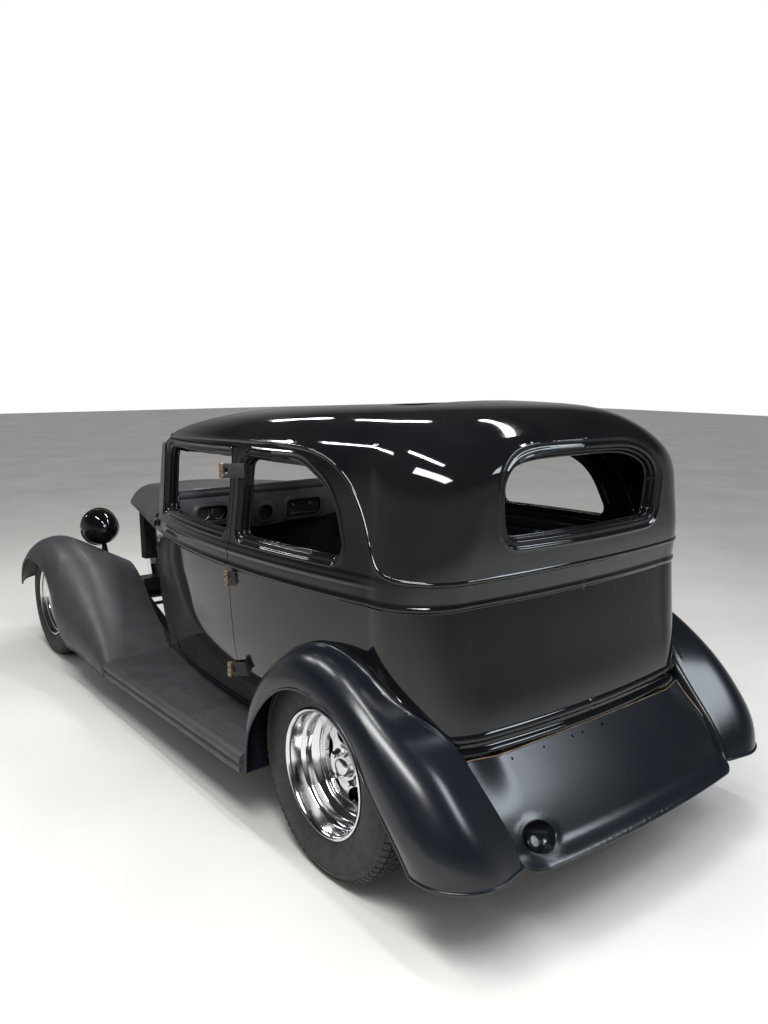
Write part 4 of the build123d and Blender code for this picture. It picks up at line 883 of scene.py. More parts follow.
def fender(sections, rows=120, columns=54, cut=False, hub=None):
    """The fender's grid in level millimetres, from its sections, with its inner edge on the body. With a hub,
    the inner edge is folded down towards it."""
    folds = ((44, 17), (30, 15), (17, 12.5), (7, 8.5), (1.5, 3.5))
    drawn = []
    for inner, crown, shoulder, lip in sections:
        flat = inner + (crown - inner) * np.linspace(0, 1, 24)[:, None]
        arc = arc_through(crown, shoulder, lip, 44)
        drawn.append(eased(np.concatenate([flat, arc[1:]]), 26, 8, 46))
    drawn = np.array(drawn)
    steps = np.linalg.norm(np.diff(drawn, axis=0), axis=2).mean(axis=1)
    knots = np.concatenate([[0], np.cumsum(steps)])
    lines = spline(knots, drawn.reshape(len(drawn), -1), np.linspace(0, knots[-1], rows)).reshape(rows, -1, 3)
    out = []
    trimmed = []
    for line in lines:
        fine_line = spaced(line, 160)
        seat = 0
        if cut:
            hidden = fine_line[:, 1] < body_y(fine_line[:, 0], fine_line[:, 2]) - 1.0
            if hidden.any():
                seat = int(np.nonzero(hidden)[0].max())
        trimmed.append(seat > 0)
        line = spaced(fine_line[seat:], columns)
        if hub is not None:
            down = np.array([hub[0], line[0, 1], hub[1]]) - line[0]
            down /= np.linalg.norm(down)
            fold = [line[0] + down * d + [0, -w, 0] for d, w in folds]
            line = np.concatenate([fold, line])
        out.append(line)
    return np.array(out), np.array(trimmed)


def station(hub, row):
    """A section across the car on a plane through a wheel's hub, from its angle and pairs of y and radius."""
    turn = math.radians(row[0])
    up = np.array([math.cos(turn), 0, math.sin(turn)])
    return [np.array([hub[0], y, hub[1]]) + up * r for y, r in zip(row[1::2], row[2::2])]


def fender_piece(name, grid, wires, slot, bead=None):
    """A pair of fenders from one grid, with a wire rolled into the edges and a bead raised on it."""
    outward = np.array([0, 0.3, 1.0])
    placed = tipped(grid)
    v, f, normal = sheet(placed, 3.0, outward)
    if bead is not None:
        placed = placed + normal * bead[..., None] / 1000
        v, f, normal = sheet(placed, 3.0, outward)
    v, f = joined([(v, f)] + [tube(spaced(path, 260), 0.0052, 10) for path in wires(placed)])
    for side, mesh in (("left", (v, f)), ("right", mirrored(v, f))):
        node = name + "_" + side
        settled(new_object(node + "_skin", *mesh, sharp=50), "body", slot, node)


add_finish("sealer_blue_black", (0.004, 0.0055, 0.008), (0.0055, 0.0075, 0.011), 1.6, (0.23, 0.26), 300, 0.03)
add_finish("primer_charcoal", (0.026, 0.028, 0.031), (0.038, 0.040, 0.044), 7.0, (0.40, 0.52), 420, 0.12)
# Columns: angle from the nose, inner y and r, crown y and r, shoulder y and r, lip y and r
rear_hub = (-11.5, 324.0)
rear_rows = [
    (-16, 600, 399, 790, 399, 842, 394, 860, 384), (8, 620, 402, 785, 402, 842, 388, 860, 346),
    (30, 660, 412, 780, 411, 842, 380, 860, 312), (60, 700, 422, 770, 416, 838, 375, 860, 300),
    (90, 705, 436, 765, 425, 835, 385, 860, 309), (120, 680, 418, 762, 425, 836, 395, 860, 333),
    (142, 630, 446, 750, 457, 836, 430, 860, 357), (158, 590, 492, 735, 528, 834, 485, 860, 372),
    (172, 574, 562, 715, 612, 830, 555, 858, 418), (183, 562, 655, 690, 690, 812, 630, 846, 475)]
tail_edge = 220.0
sections = [station(rear_hub, row) for row in rear_rows]
sections.append([np.array([-x, y, tail_edge]) for y, x in ((558, 700), (665, 722), (790, 664), (828, 520))])
rear_grid, rear_trimmed = fender(sections, cut=True, hub=rear_hub)
run_in = np.array([run_along(line) for line in rear_grid])
run_in -= run_in[:, 5:6]
held = np.convolve(rear_trimmed.astype(float), np.ones(9) / 9, mode="same")[:, None]
rear_bead = ridge(run_in - 13, 10, 7.0) * held
fender_piece("rear_fender", rear_grid, lambda g: [np.concatenate([g[:, -1], g[-1, ::-1]]), g[0]],
             "sealer_blue_black", rear_bead)
# Columns: angle from the nose, inner y and r, crown y and r, shoulder y and r, lip y and r
front_hub = (2833.4, 375.3)
nose_rows = [(10, 400, 380, 660, 455, 802, 428, 860, 336), (35, 340, 270, 655, 404, 822, 381, 873, 303),
             (62, 306, 196, 635, 374, 824, 354, 878, 283)]
# Columns: length, inner y and z, crown y and z, shoulder y and z, lip y and z
tail_rows = [(2834, 302, 550, 632, 736, 822, 720, 878, 636), (2690, 335, 556, 632, 720, 820, 704, 879, 618),
             (2550, 362, 537, 640, 676, 818, 644, 877, 520), (2475, 376, 516, 652, 642, 820, 590, 870, 345),
             (2395, 390, 490, 668, 596, 822, 535, 866, 250), (2200, 435, 432, 716, 478, 834, 420, 866, 232),
             (1980, 482, 376, 770, 372, 846, 330, 868, 214), (1772, 522, 284.7, 815, 277, 858, 268, 870, 206)]
sections = [station(front_hub, row) for row in nose_rows]
sections += [[np.array([row[0], y, z]) for y, z in zip(row[1::2], row[2::2])] for row in tail_rows]
front_grid, _ = fender(sections, rows=150, columns=56)
fender_piece("front_fender", front_grid, lambda g: [np.concatenate([g[0], g[:, -1]])], "primer_charcoal")

# Running boards: steel boards in dark primer with fine ribs pressed along their outer edge and a turned-down
# skirt with two lips. Each is one profile drawn along the car.
top = [(522.0, 0.0), (600.0, -1.0), (738.0, -3.5), (740.0, -6.0), (743.0, -6.0), (745.0, -3.8)]
for i in range(5):
    y = 752 + i * 17
    top += [(y + dy, -4.0 - i * 0.6 + dz) for dy, dz in ((0, 0), (1.5, 2.2), (4, 3.2), (6.5, 2.2), (8, 0))]
top += [(842, -7.5), (856, -10.5), (865, -16), (869.5, -25), (870, -38), (868.5, -41), (864, -43), (863, -47),
        (864.5, -52), (868, -55), (870, -60), (870.5, -72), (869, -77), (864, -79)]
low = [(862, -76), (864, -70), (862, -60), (857, -52), (857, -44), (861, -38), (861, -26), (856, -18),
       (846, -13.5), (742, -10), (600, -8), (522, -7.5)]
profile = np.array(top + low)
profile = np.array([p for i, p in enumerate(profile) if i == 0 or np.linalg.norm(p - profile[i - 1]) > 0.3])
lengths = np.linspace(389, 1772, 46)
board = np.array([[(x, y, 284.7 + z) for y, z in profile] for x in lengths])
v, f = grid_mesh(tipped(board), False, True, True)
v, f = joined([(v, f), mirrored(v, f)])
settled(new_object("running_board_treads", v, f, sharp=30), "body", "primer_charcoal", "running_boards")

# Cover over the fuel tank: convex pressed steel in the fenders' sealer, with a flared and rolled lower edge,
# five small holes along its top, a round recess for the filler and a bare seam against the body. It is one
# sheet over a curved surface, with the recess set in as a bowl.
add_finish("hinge_metal", (0.13, 0.085, 0.06), (0.28, 0.21, 0.15), 30.0, (0.28, 0.45), 500, 0.15, 0.7)
cover_rows = np.array([(215, -690, 30), (270, -652, 25), (340, -600, 18), (400, -549, 15), (462, -498, 10)],
                      float)
cover_half = 556.0
filler_y, filler_t = 446.0, 266.0
filler_wide, filler_high = 64.0, 37.0


def cover_point(y, t):
    edge, bow = spline(cover_rows[:, 0], cover_rows[:, 1:], np.clip(t, 200, 462)).T
    x = edge - bow * (1 - (y / cover_half) ** 2)
    x = x - 34.0 * smooth_step(256, 208, t) ** 2 * (1 - 0.8 * smooth_step(470, cover_half, np.abs(y)))
    x = x + 26.0 * smooth_step(430, cover_half, np.abs(y)) * smooth_step(330, 462, t)
    return np.stack([x, y, t], -1)


def cover_place(y, t):
    e = 1.0
    n = np.cross(cover_point(y + e, t) - cover_point(y - e, t), cover_point(y, t + e) - cover_point(y, t - e))
    n = unit(n)
    if n[0, 0] > 0:
        n = -n
    base = cover_point(y, t)
    reach = np.hypot((y - filler_y) / filler_wide, (t - filler_t) / filler_high)
    base = base + n * (3.0 * smooth_step(1.35, 1.0, reach))[:, None]
    return tipped(base), unit(tipped(base + n) - tipped(base))


def round_loop(y, t, r, count, high=None):
    a = np.linspace(0, 2 * math.pi, count, endpoint=False)
    return [(y + r * math.cos(k), t + (high or r) * math.sin(k)) for k in a]


cover_outline = fine(rounded([(-556, 461.7), (556, 461.7), (548, 208), (-548, 208)], (4, 4, 40, 40)), 9)
holes = [round_loop(filler_y, filler_t, filler_wide, 48, filler_high)]
for y, t in ((404, 445), (262, 444), (124, 443), (74, 443), (-30, 443)):
    holes.append(round_loop(y, t, 4.0, 10))
v, f = panel(cover_place, cover_outline, holes, np.arange(-540, 545, 14), list(np.arange(256, 460, 12)) +
             [210, 213, 216, 220, 224, 228, 232, 237, 243, 249], 3.0, rings=(3, 7, 12))
parts = [(v, f)]
hem = np.array([p for p in cover_outline if p[1] < 300])
hem = hem[np.argsort(hem[:, 0])]
parts.append(tube(spaced(cover_place(hem[:, 0], hem[:, 1])[0], 200), 0.005, 10))
rim_points, rim_normals = cover_place(*np.array(holes[0]).T)
bowl = []
axis_in = -rim_normals.mean(axis=0)
middle = rim_points.mean(axis=0)
# Columns: depth, size and drop of the bowl's rings; its upper part is roofed over
for depth, size, drop in ((0, 1.0, 0), (3, 0.965, 0), (10, 0.95, 1), (20, 0.9, 2), (30, 0.8, 4),
                          (37, 0.66, 6), (41, 0.45, 8), (42, 0.2, 9)):
    ring_now = middle + (rim_points - middle) * size + axis_in * depth / 1000
    ring_now[:, 2] -= drop / 1000
    bowl.append(ring_now)
bv, bf = grid_mesh(np.array(bowl), False, True)
bf.append(tuple(range(len(bv) - 48, len(bv))))
parts.append((bv, bf))
neck_low = middle + axis_in * 0.046 + np.array([0, 0, -0.010])
parts.append(tube([neck_low - axis_in * k for k in (0, 0.012, 0.018, 0.0205, 0.021)],
                  [0.027, 0.027, 0.0265, 0.024, 0.012], 32))
parts.append(tube(rim_points + rim_normals * -0.0008, 0.0026, 8, True))
settled(new_object("tank_cover_skin", *joined(parts), sharp=45), "body", "sealer_blue_black", "tank_cover")
welt_y = np.linspace(-cover_half, cover_half, 120)
welt = tube(cover_place(welt_y, np.full(120, 461.0))[0] + [[-0.001, 0, 0.002]], 0.0026, 8)
edge_t = np.linspace(250, 460, 60)
edge = tube(cover_place(np.full(60, 555.0), edge_t)[0] + [[0, 0.001, 0]], 0.002, 8)
settled(new_object("cover_welts", *joined([welt, edge, mirrored(*edge)])), "body", "hinge_metal")

# Wheels and tyres: deep polished alloy wheels with five windows and lug nuts, and black rubber tyres.
# Profiles are turned round the axle. Nuts and tread blocks are set round it by Geometry Nodes.


def ring(profile, centre, turns, axis="y"):
    """A closed ring round an axis from (along, radius) points; a closed profile."""
    along, radius = np.asarray(profile, float).T
    angle = np.linspace(0, 2 * math.pi, turns, endpoint=False)[:, None]
    u, w = np.cos(angle) * radius, np.sin(angle) * radius
    along = np.broadcast_to(along, u.shape)
    points = np.stack({"x": (along, u, w), "y": (u, along, w), "z": (u, w, along)}[axis], -1)
    return points.reshape(-1, 3) + np.asarray(centre, float), grid_faces(*u.shape, True, True)


def repeated(name, piece, count, centre, finish):
    """Copies of a piece set round an axle at centre, as one plain mesh."""
    group = bpy.data.node_groups.new(name, "GeometryNodeTree")
    group.interface.new_socket("Geometry", in_out="OUTPUT", socket_type="NodeSocketGeometry")
    values = {"Count": ("Int", count), "Piece": ("Object", piece), "Centre": ("Vector", centre),
              "Finish": ("Material", finish)}
    sockets = {key: group.interface.new_socket(key, in_out="INPUT", socket_type="NodeSocket" + kind)
               for key, (kind, value) in values.items()}
    nodes, links = group.nodes, group.links
    start = nodes.new("NodeGroupInput")
    line = nodes.new("GeometryNodeMeshLine")
    line.inputs["Offset"].default_value = (0, 0, 0)
    index = nodes.new("GeometryNodeInputIndex")
    share = nodes.new("ShaderNodeMath")
    share.operation = "DIVIDE"
    angle = nodes.new("ShaderNodeMath")
    angle.operation = "MULTIPLY"
    angle.inputs[1].default_value = 2 * math.pi
    turn = nodes.new("ShaderNodeCombineXYZ")
    info = nodes.new("GeometryNodeObjectInfo")
    place = nodes.new("GeometryNodeInstanceOnPoints")
    real = nodes.new("GeometryNodeRealizeInstances")
    paint = nodes.new("GeometryNodeSetMaterial")
    end = nodes.new("NodeGroupOutput")
    for source, target in ((start.outputs["Count"], line.inputs["Count"]),
                           (start.outputs["Centre"], line.inputs["Start Location"]),
                           (index.outputs[0], share.inputs[0]), (start.outputs["Count"], share.inputs[1]),
                           (share.outputs[0], angle.inputs[0]), (angle.outputs[0], turn.inputs["Y"]),
                           (start.outputs["Piece"], info.inputs["Object"]),
                           (line.outputs["Mesh"], place.inputs["Points"]),
                           (info.outputs["Geometry"], place.inputs["Instance"]),
                           (turn.outputs[0], place.inputs["Rotation"]), (place.outputs[0], real.inputs[0]),
                           (real.outputs[0], paint.inputs["Geometry"]),
                           (start.outputs["Finish"], paint.inputs["Material"]),
                           (paint.outputs[0], end.inputs[0])):
        links.new(source, target)
    holder = new_object(name + "_holder", [(0, 0, 0), (0.001, 0, 0), (0, 0.001, 0)], [(0, 1, 2)])
    modifier = holder.modifiers.new("Repeat", "NODES")
    modifier.node_group = group
    for key, socket in sockets.items():
        modifier[socket.identifier] = values[key][1]
    graph = bpy.context.evaluated_depsgraph_get()
    mesh = bpy.data.meshes.new_from_object(holder.evaluated_get(graph))
    out = (np.array([v.co[:] for v in mesh.vertices]), [tuple(p.vertices) for p in mesh.polygons])
    bpy.data.objects.remove(holder)
    bpy.data.objects.remove(piece)
    return out


def soft_block(width, length, height, bevel):
    """A tread block or nut head: a low box with sloping sides, its foot at height zero."""
    v = []
    for shrink, z in ((0, 0), (0, height - bevel), (bevel, height)):
        x, y = length / 2 - shrink, width / 2 - shrink
        v += [(-x, -y, z), (x, -y, z), (x, y, z), (-x, y, z)]
    f = [(4, 5, 9, 8), (5, 6, 10, 9), (6, 7, 11, 10), (7, 4, 8, 11), (8, 9, 10, 11), (0, 1, 5, 4),
         (1, 2, 6, 5), (2, 3, 7, 6), (3, 0, 4, 7)]
    return np.array(v, float), f


def turned(profile, centre, steps, side):
    """A ring from points (in from the outer face, radius), in millimetres, for one side of the car."""
    path = np.array([(side * -a, r) for a, r in profile], float) / 1000
    v, f = ring(path, centre, steps)
    if side > 0:
        f = [tuple(reversed(g)) for g in f]
    return v, f


def wheel(name, hub, width, radius, dish, side, body):
    """A polished wheel: rolled lip, stepped barrel and a dished centre with five kidney windows."""
    outer = np.array([(hub[0] + axle_x) / 1000, side * (hub[1] + width / 2) / 1000, hub[2] / 1000])
    # Columns: how far in from the outer face, how far below the rim's radius
    barrel = [(2, -1), (0, 3), (1.5, 7), (6, 10), (12, 11), (15, 13), (dish * 0.45, 16), (dish * 0.5, 19),
              (dish * 0.54, 25), (dish * 0.6, 27), (dish * 0.76, 29), (dish * 0.82, 34), (dish * 0.88, 46),
              (dish * 0.95, 52), (dish + 30, 56), (width - 60, 56), (width - 30, 20), (width - 2, 10),
              (width, -1), (width - 10, -1), (width - 12, 10), (width - 34, 14), (width - 62, 50),
              (dish + 24, 50), (dish * 0.6, 20), (22, 8), (10, 4), (9, -1)]
    parts = [turned([(a, radius - drop) for a, drop in barrel], outer, 128, side)]
    disc_r = radius - 53

    def depth(r):
        k = r / disc_r
        return dish + 2 - 20 * smooth_step(0.98, 0.62, k) + 8 * smooth_step(0.5, 0.28, k)

    def centre_place(a, b):
        r = np.hypot(a, b)
        d = depth(r)
        dr = (depth(r + 1) - depth(r - 1)) / 2
        p = np.stack([a, -side * d, b], -1) / 1000 + outer
        n = np.stack([dr * a / (r + 1e-9), side * np.ones_like(a), dr * b / (r + 1e-9)], -1)
        return p, unit(n)

    windows = []
    low, high = disc_r * 0.5, disc_r * 0.86
    for i in range(5):
        loop = []
        for k in np.linspace(0, 2 * math.pi, 44, endpoint=False):
            u = math.copysign(abs(math.cos(k)) ** 0.62, math.cos(k))
            w = math.copysign(abs(math.sin(k)) ** 0.7, math.sin(k))
            r = (low + high) / 2 + (high - low) / 2 * w - 7 * (1 - u * u)
            turn = 2 * math.pi * i / 5 + math.pi / 2 + 0.40 * u * (1.02 - 0.12 * w)
            loop.append((r * math.cos(turn), r * math.sin(turn)))
        windows.append(loop)
    disc_loop = round_loop(0, 0, disc_r + 1, 120)
    lines = np.arange(-disc_r, disc_r, 9)
    parts.append(panel(centre_place, disc_loop, windows, lines, lines, 14.0, rings=(2, 5, 9)))
    # Columns: how far out from the disc at 30 mm, radius
    cap = [(-2, 44), (5, 42), (14, 37), (24, 33), (30, 27), (32, 18), (32.5, 0.5), (-10, 0.5), (-10, 44)]
    parts.append(turned([(depth(30) - out, r) for out, r in cap], outer, 48, side))
    bolt_r = 60
    nut_v, nut_f = soft_block(18, 18, 16, 2.5)
    nut = np.stack([nut_v[:, 0], side * (nut_v[:, 2] - depth(bolt_r) + 1), bolt_r + nut_v[:, 1]], -1) / 1000
    nut = new_object(name + "_nut", nut, nut_f, smooth=False)
    parts.append(repeated(name + "_nuts", nut, 5, tuple(outer), finishes["wheel_polish"]))
    settled(new_object(name + "_polished", *joined(parts), sharp=38), body, "wheel_polish", name)


def tyre(name, hub, width, radius, rim_width, rim_radius, rows_across, count, side, body):
    """A tyre with rounded walls, a fine rib by the bead and rows of tread blocks."""
    half = width / 2
    centre = np.array([(hub[0] + axle_x) / 1000, side * hub[1] / 1000, hub[2] / 1000])
    bead = rim_width / 2 - 10.5
    flank = [(bead, rim_radius - 13), (bead + 1, rim_radius + 3), (bead + 5, rim_radius + 5),
             (bead + 9, rim_radius + 12), (half - 4, rim_radius + 30), (half - 1, rim_radius + 46),
             (half, rim_radius + 62), (half - 1.5, radius - 52), (half - 3, radius - 44),
             (half - 1.5, radius - 42), (half - 4, radius - 40), (half - 9, radius - 26),
             (half - 16, radius - 15), (half - 26, radius - 8), (half - 34, radius - 7)]
    lining = [(half - 40, radius - 26), (half - 18, rim_radius + 50), (bead - 12, rim_radius + 10),
              (bead - 20, rim_radius - 13)]
    path = flank + [(0, radius - 6.5)] + [(-a, r) for a, r in reversed(flank)]
    path += [(-a, r) for a, r in reversed(lining)] + lining
    v, f = ring(np.array(path, float) / 1000, centre, 144)
    parts = [(v, [tuple(reversed(g)) for g in f])]
    pitch = 2 * math.pi * (radius - 6) / count
    lane = (width - 64) / rows_across
    blocks = []
    for k in range(rows_across):
        y = (k - (rows_across - 1) / 2) * lane
        bv, bf = soft_block(lane - 7, pitch - 6, 6.4, 1.2)
        skew = 0.22 * (1 if k % 2 else -1)
        b = np.stack([bv[:, 0] + skew * bv[:, 1], y + bv[:, 1], radius - 6.6 + bv[:, 2]], -1)
        turn = (k % 2) * math.pi / count
        blocks.append(("_row", bf, np.stack([b[:, 0] * math.cos(turn) + b[:, 2] * math.sin(turn), b[:, 1],
                                             -b[:, 0] * math.sin(turn) + b[:, 2] * math.cos(turn)], -1)))
    for edge in (1, -1):
        bv, bf = soft_block(22, pitch - 8, 5.0, 1.0)
        tilt = math.radians(38) * edge
        y = bv[:, 1] * math.cos(tilt) + bv[:, 2] * math.sin(tilt)
        z = -bv[:, 1] * math.sin(tilt) + bv[:, 2] * math.cos(tilt)
        blocks.append(("_shoulder", bf, np.stack([bv[:, 0], edge * (half - 21) + y, radius - 15 + z], -1)))
    for word, bf, b in blocks:
        block = new_object(name + "_block", b / 1000, bf, smooth=False)
        parts.append(repeated(name + word, block, count, tuple(centre), finishes["tyre_black"]))
    settled(new_object(name + "_treaded", *joined(parts), sharp=32), body, "tyre_black", name)


add_finish("wheel_polish", (0.68, 0.68, 0.70), (0.84, 0.84, 0.86), 9.0, (0.07, 0.16), 600, 0.03, 1.0)
add_finish("tyre_black", (0.010, 0.010, 0.010), (0.020, 0.019, 0.018), 14.0, (0.55, 0.72), 700, 0.35)
# Columns: end, length, wheel y, hub height, tyre width and radius, rim width and radius, dish, rows, blocks
axles = [("rear", 0.0, 652.0, 367.0, 275.0, 367.0, 262.0, 218.0, 118.0, 5, 78),
         ("front", 2845.0, 712.0, 324.0, 185.0, 324.0, 168.0, 203.0, 52.0, 4, 76)]
for end, x, y, z, tyre_w, tyre_r, rim_w, rim_r, dish, rows_across, count in axles:
    for side, word in ((1, "left"), (-1, "right")):
        body = end + "_wheel_" + word
        wheel(end + "_rim_" + word, (x, y, z), rim_w, rim_r, dish, side, body)
        tyre(end + "_tyre_" + word, (x, y, z), tyre_w, tyre_r, rim_w, rim_r, rows_across, count, side, body)

# Door hinges: bare bronze barrels that stand off the body's side, with dark arms into the seam. Knuckles are
# rings and arms are bars with rounded edges. The middle third and its arm belong to the door.
hinge_x, hinge_y, hinge_r = 620.0, 770.0, 11.0
hinge_heights = (520.0, 880.0, 1290.0)
add_finish("core_black", (0.008, 0.008, 0.008), (0.015, 0.015, 0.015), 20.0, (0.5, 0.65), 500, 0.4)


def bar(start, end, wide, high, soft=1.5, up=(0, 0, 1)):
    """A straight bar with rounded edges between two places, in the same measure as they are."""
    a, b = np.asarray(start, float), np.asarray(end, float)
    length = np.linalg.norm(b - a)
    along = (b - a) / length
    side = np.cross(up, along)
    side /= np.linalg.norm(side)
    top = np.cross(along, side)
    rows = []
    for run, shrink in ((0, soft), (soft, 0), (length - soft, 0), (length, soft)):
        w, h = wide / 2 - shrink, high / 2 - shrink
        loop = rounded([(-w, -h), (w, -h), (w, h), (-w, h)], (soft,) * 4, soft)
        rows.append([a + along * run + side * p + top * q for p, q in loop])
    return grid_mesh(rows, False, True, True)


def knuckle(low, high):
    """One knuckle of a hinge barrel with rounded ends, about the hinge's axis."""
    profile = [(low, 1.0), (low, hinge_r - 3), (low + 0.9, hinge_r - 0.9), (low + 3, hinge_r),
               (high - 3, hinge_r), (high - 0.9, hinge_r - 0.9), (high, hinge_r - 3), (high, 1.0)]
    return ring(profile, (hinge_x, hinge_y, 0), 32, "z")


def pair(name, parts, slot, sharp, *nodes):
    """The same parts on both sides of the body as one object."""
    v, f = joined(parts)
    v, f = joined([(tipped(v), f), mirrored(tipped(v), f)])
    settled(new_object(name, v, f, sharp=sharp), "body", slot, *nodes)


body_knuckles, door_knuckles, body_arms, door_arms = [], [], [], []
for z in hinge_heights:
    side_y = float(hull_point(np.array([640.0]), np.array([z]))[0, 1])
    body_knuckles += [knuckle(z + 9.8, z + 29), knuckle(z - 29, z - 9.8)]
    door_knuckles.append(knuckle(z - 9.5, z + 9.5))
    reach = max(hinge_y - side_y, 24)
    out_y = hinge_y - 5
    for middle in (z + 19, z - 19):
        body_arms.append(bar((hinge_x - 4, out_y, middle), (hinge_x - 16, out_y - reach * 0.3, middle),
                             6, 18, 1.2))
    body_arms.append(bar((hinge_x - 13, out_y - reach * 0.2, z), (hinge_x - 50, side_y - 8, z), 8, 54, 1.6))
    door_arms.append(bar((hinge_x + 5, out_y, z), (hinge_x + 64, side_y - 8, z), 7, 18.6, 1.3))
pair("door_hinge_barrels", body_knuckles, "hinge_metal", 35, "door_hinge_pins")
pair("door_hinge_arms", body_arms, "core_black", 35)
for name, parts, slot in (("door_leaf_", door_knuckles, "hinge_metal"),
                          ("door_arm_", door_arms, "core_black")):
    v, f = joined(parts)
    for side, mesh in (("left", (tipped(v), f)), ("right", mirrored(tipped(v), f))):
        settled(new_object(name + side, *mesh, sharp=35), "door_" + side, slot)

# Hood: one steel sheet in dark primer that arches from the cowl to the grille, with its side edges turned
# down and in, and a small hinge at its rear edge. It blends from one outline to the other.
# Columns: y, z of the left half's outline at the cowl, and the same at the grille
hood_lines = np.array([(590, 928, 319, 928), (590, 940, 321, 937), (588, 956, 318, 948), (574, 969, 309, 963),
                       (548, 985, 292, 986), (500, 1013, 262, 1011), (450, 1042, 233, 1026),
                       (400, 1066, 203, 1034), (340, 1078, 170, 1037), (230, 1087, 115, 1039),
                       (110, 1091, 55, 1040), (0, 1092, 0, 1040)], float)
hood_rear, hood_front, hood_foot = 1726.3, 2706.0, 928
half_line = spline(np.linspace(0, 1, len(hood_lines)), hood_lines, np.linspace(0, 1, 60))
half_line = np.maximum(half_line, [0, hood_foot, 0, hood_foot])
hood_rows = []
for k in np.concatenate([[0, 0.002, 0.006], np.linspace(0.02, 0.98, 34), [0.994, 0.998, 1.0]]):
    x = hood_rear + (hood_front - hood_rear) * k
    bow = 7.0 * math.sin(math.pi * k)
    low = min(k / 0.006, (1 - k) / 0.006, 1)
    y = half_line[:, 0] + (half_line[:, 2] - half_line[:, 0]) * k + bow * 0.6
    z = half_line[:, 1] + (half_line[:, 3] - half_line[:, 1]) * k + bow - 2.5 * (1 - low)
    y[-1] = 0
    line = np.stack([np.full(60, x), y, np.maximum(z, 927.5)], -1)
    hood_rows.append(np.concatenate([line, (line * [1, -1, 1])[-2::-1]]))
hood_grid = tipped(np.array(hood_rows))
v, f, _ = sheet(hood_grid, 4.5, np.array([0, 0, 1.0]))
hinge = [bar((1722.5, 0, 1087.5), (1739, 0, 1087.5), 58, 5, 1.0)]
for y0, y1 in ((12.6, 29.5), (-29.5, -12.6)):
    eye = [(y0, 3.2), (y0, 5.2), (y0 + 0.8, 6), (y1 - 0.8, 6), (y1, 5.2), (y1, 3.2)]
    hinge.append(ring(eye, (1724.5, 0, 1092), 24))
hinge_v, hinge_f = joined(hinge)
parts = [(v, f), (tipped(hinge_v), hinge_f)]
for y, column in ((-1, -1), (1, 0)):
    parts.append(tube(hood_grid[:, column] + [[0, -0.002 * y, 0.001]], 0.0042, 8))
settled(new_object("hood_sheet", *joined(parts), sharp=50), "hood", "primer_charcoal", "hood")

# Headlamps: deep egg-shaped steel buckets in gloss black on short stands, with a thin plated rim and a
# ribbed lens. Buckets, rims and lenses are turned round the lamp's axis.
add_finish("lamp_black", (0.003, 0.003, 0.004), (0.006, 0.006, 0.007), 6.0, (0.04, 0.08), 220, 0.01)
add_finish("chrome_plate", (0.72, 0.73, 0.75), (0.82, 0.83, 0.85), 5.0, (0.04, 0.08), 500, 0.01, 1.0)
add_finish("lamp_glass", (0.93, 0.95, 0.96), (0.97, 0.98, 0.99), 4.0, (0.02, 0.05), 90, 0.05)
for socket, value in (("Transmission Weight", 1.0), ("IOR", 1.5)):
    finishes["lamp_glass"].node_tree.nodes["Principled BSDF"].inputs[socket].default_value = value
lamp_x, lamp_y, lamp_z, lamp_r = 2876.0, 445.0, 771.0, 119.0
mouth = lamp_x + 50
lens_r = 106.5


def lamp_ring(profile):
    return ring([(mouth + x, r) for x, r in profile], (0, lamp_y, lamp_z), 72, "x")


egg = [(-170 * math.cos(a), 111 * math.sin(a)) for a in np.linspace(0.005, math.pi / 2, 30)]
hollow = [(-164 * math.cos(a), 105 * math.sin(a)) for a in np.linspace(math.pi / 2, 0.005, 24)]
stand_path = [(lamp_x - 20, lamp_y, z) for z in (566, 580, 600, 620, 640, 655, 668)]
stand = tube(stand_path, [46, 38, 29, 23, 18, 15.5, 15], 32)
pair("headlamp_bowls", [lamp_ring(egg + hollow), stand], "lamp_black", 50, "headlamp_buckets")
rim_profile = [(0.3, lamp_r - 11), (0.3, lamp_r - 1), (3, lamp_r), (9, lamp_r - 0.6), (15, lamp_r - 2.5),
               (20, lamp_r - 6), (22, lamp_r - 10), (21, lamp_r - 12), (12, lamp_r - 12.3)]
pair("headlamp_plated_rims", [lamp_ring(rim_profile)], "chrome_plate", 50, "headlamp_rims")
rows = []
a = np.linspace(0, 2 * math.pi, 96, endpoint=False)
for r in (0.5, 14, 28, 42, 56, 70, 84, 96, 103, lens_r):
    y = r * np.cos(a)
    bulge = 30 - 22 * (r / lens_r) ** 2 + 1.4 * np.abs(np.sin(y / 9.0)) * smooth_step(106, 92, r)
    rows.append(np.stack([mouth + bulge, lamp_y + y, lamp_z + r * np.sin(a)], -1))
for r in (lens_r, 103, 70, 35, 0.5):
    back = np.full(96, 24 - 22 * (r / lens_r) ** 2)
    rows.append(np.stack([mouth + back, lamp_y + r * np.cos(a), lamp_z + r * np.sin(a)], -1))
pair("headlamp_ribbed_lenses", [grid_mesh(rows, True, True)], "lamp_glass", 30, "headlamp_lenses")

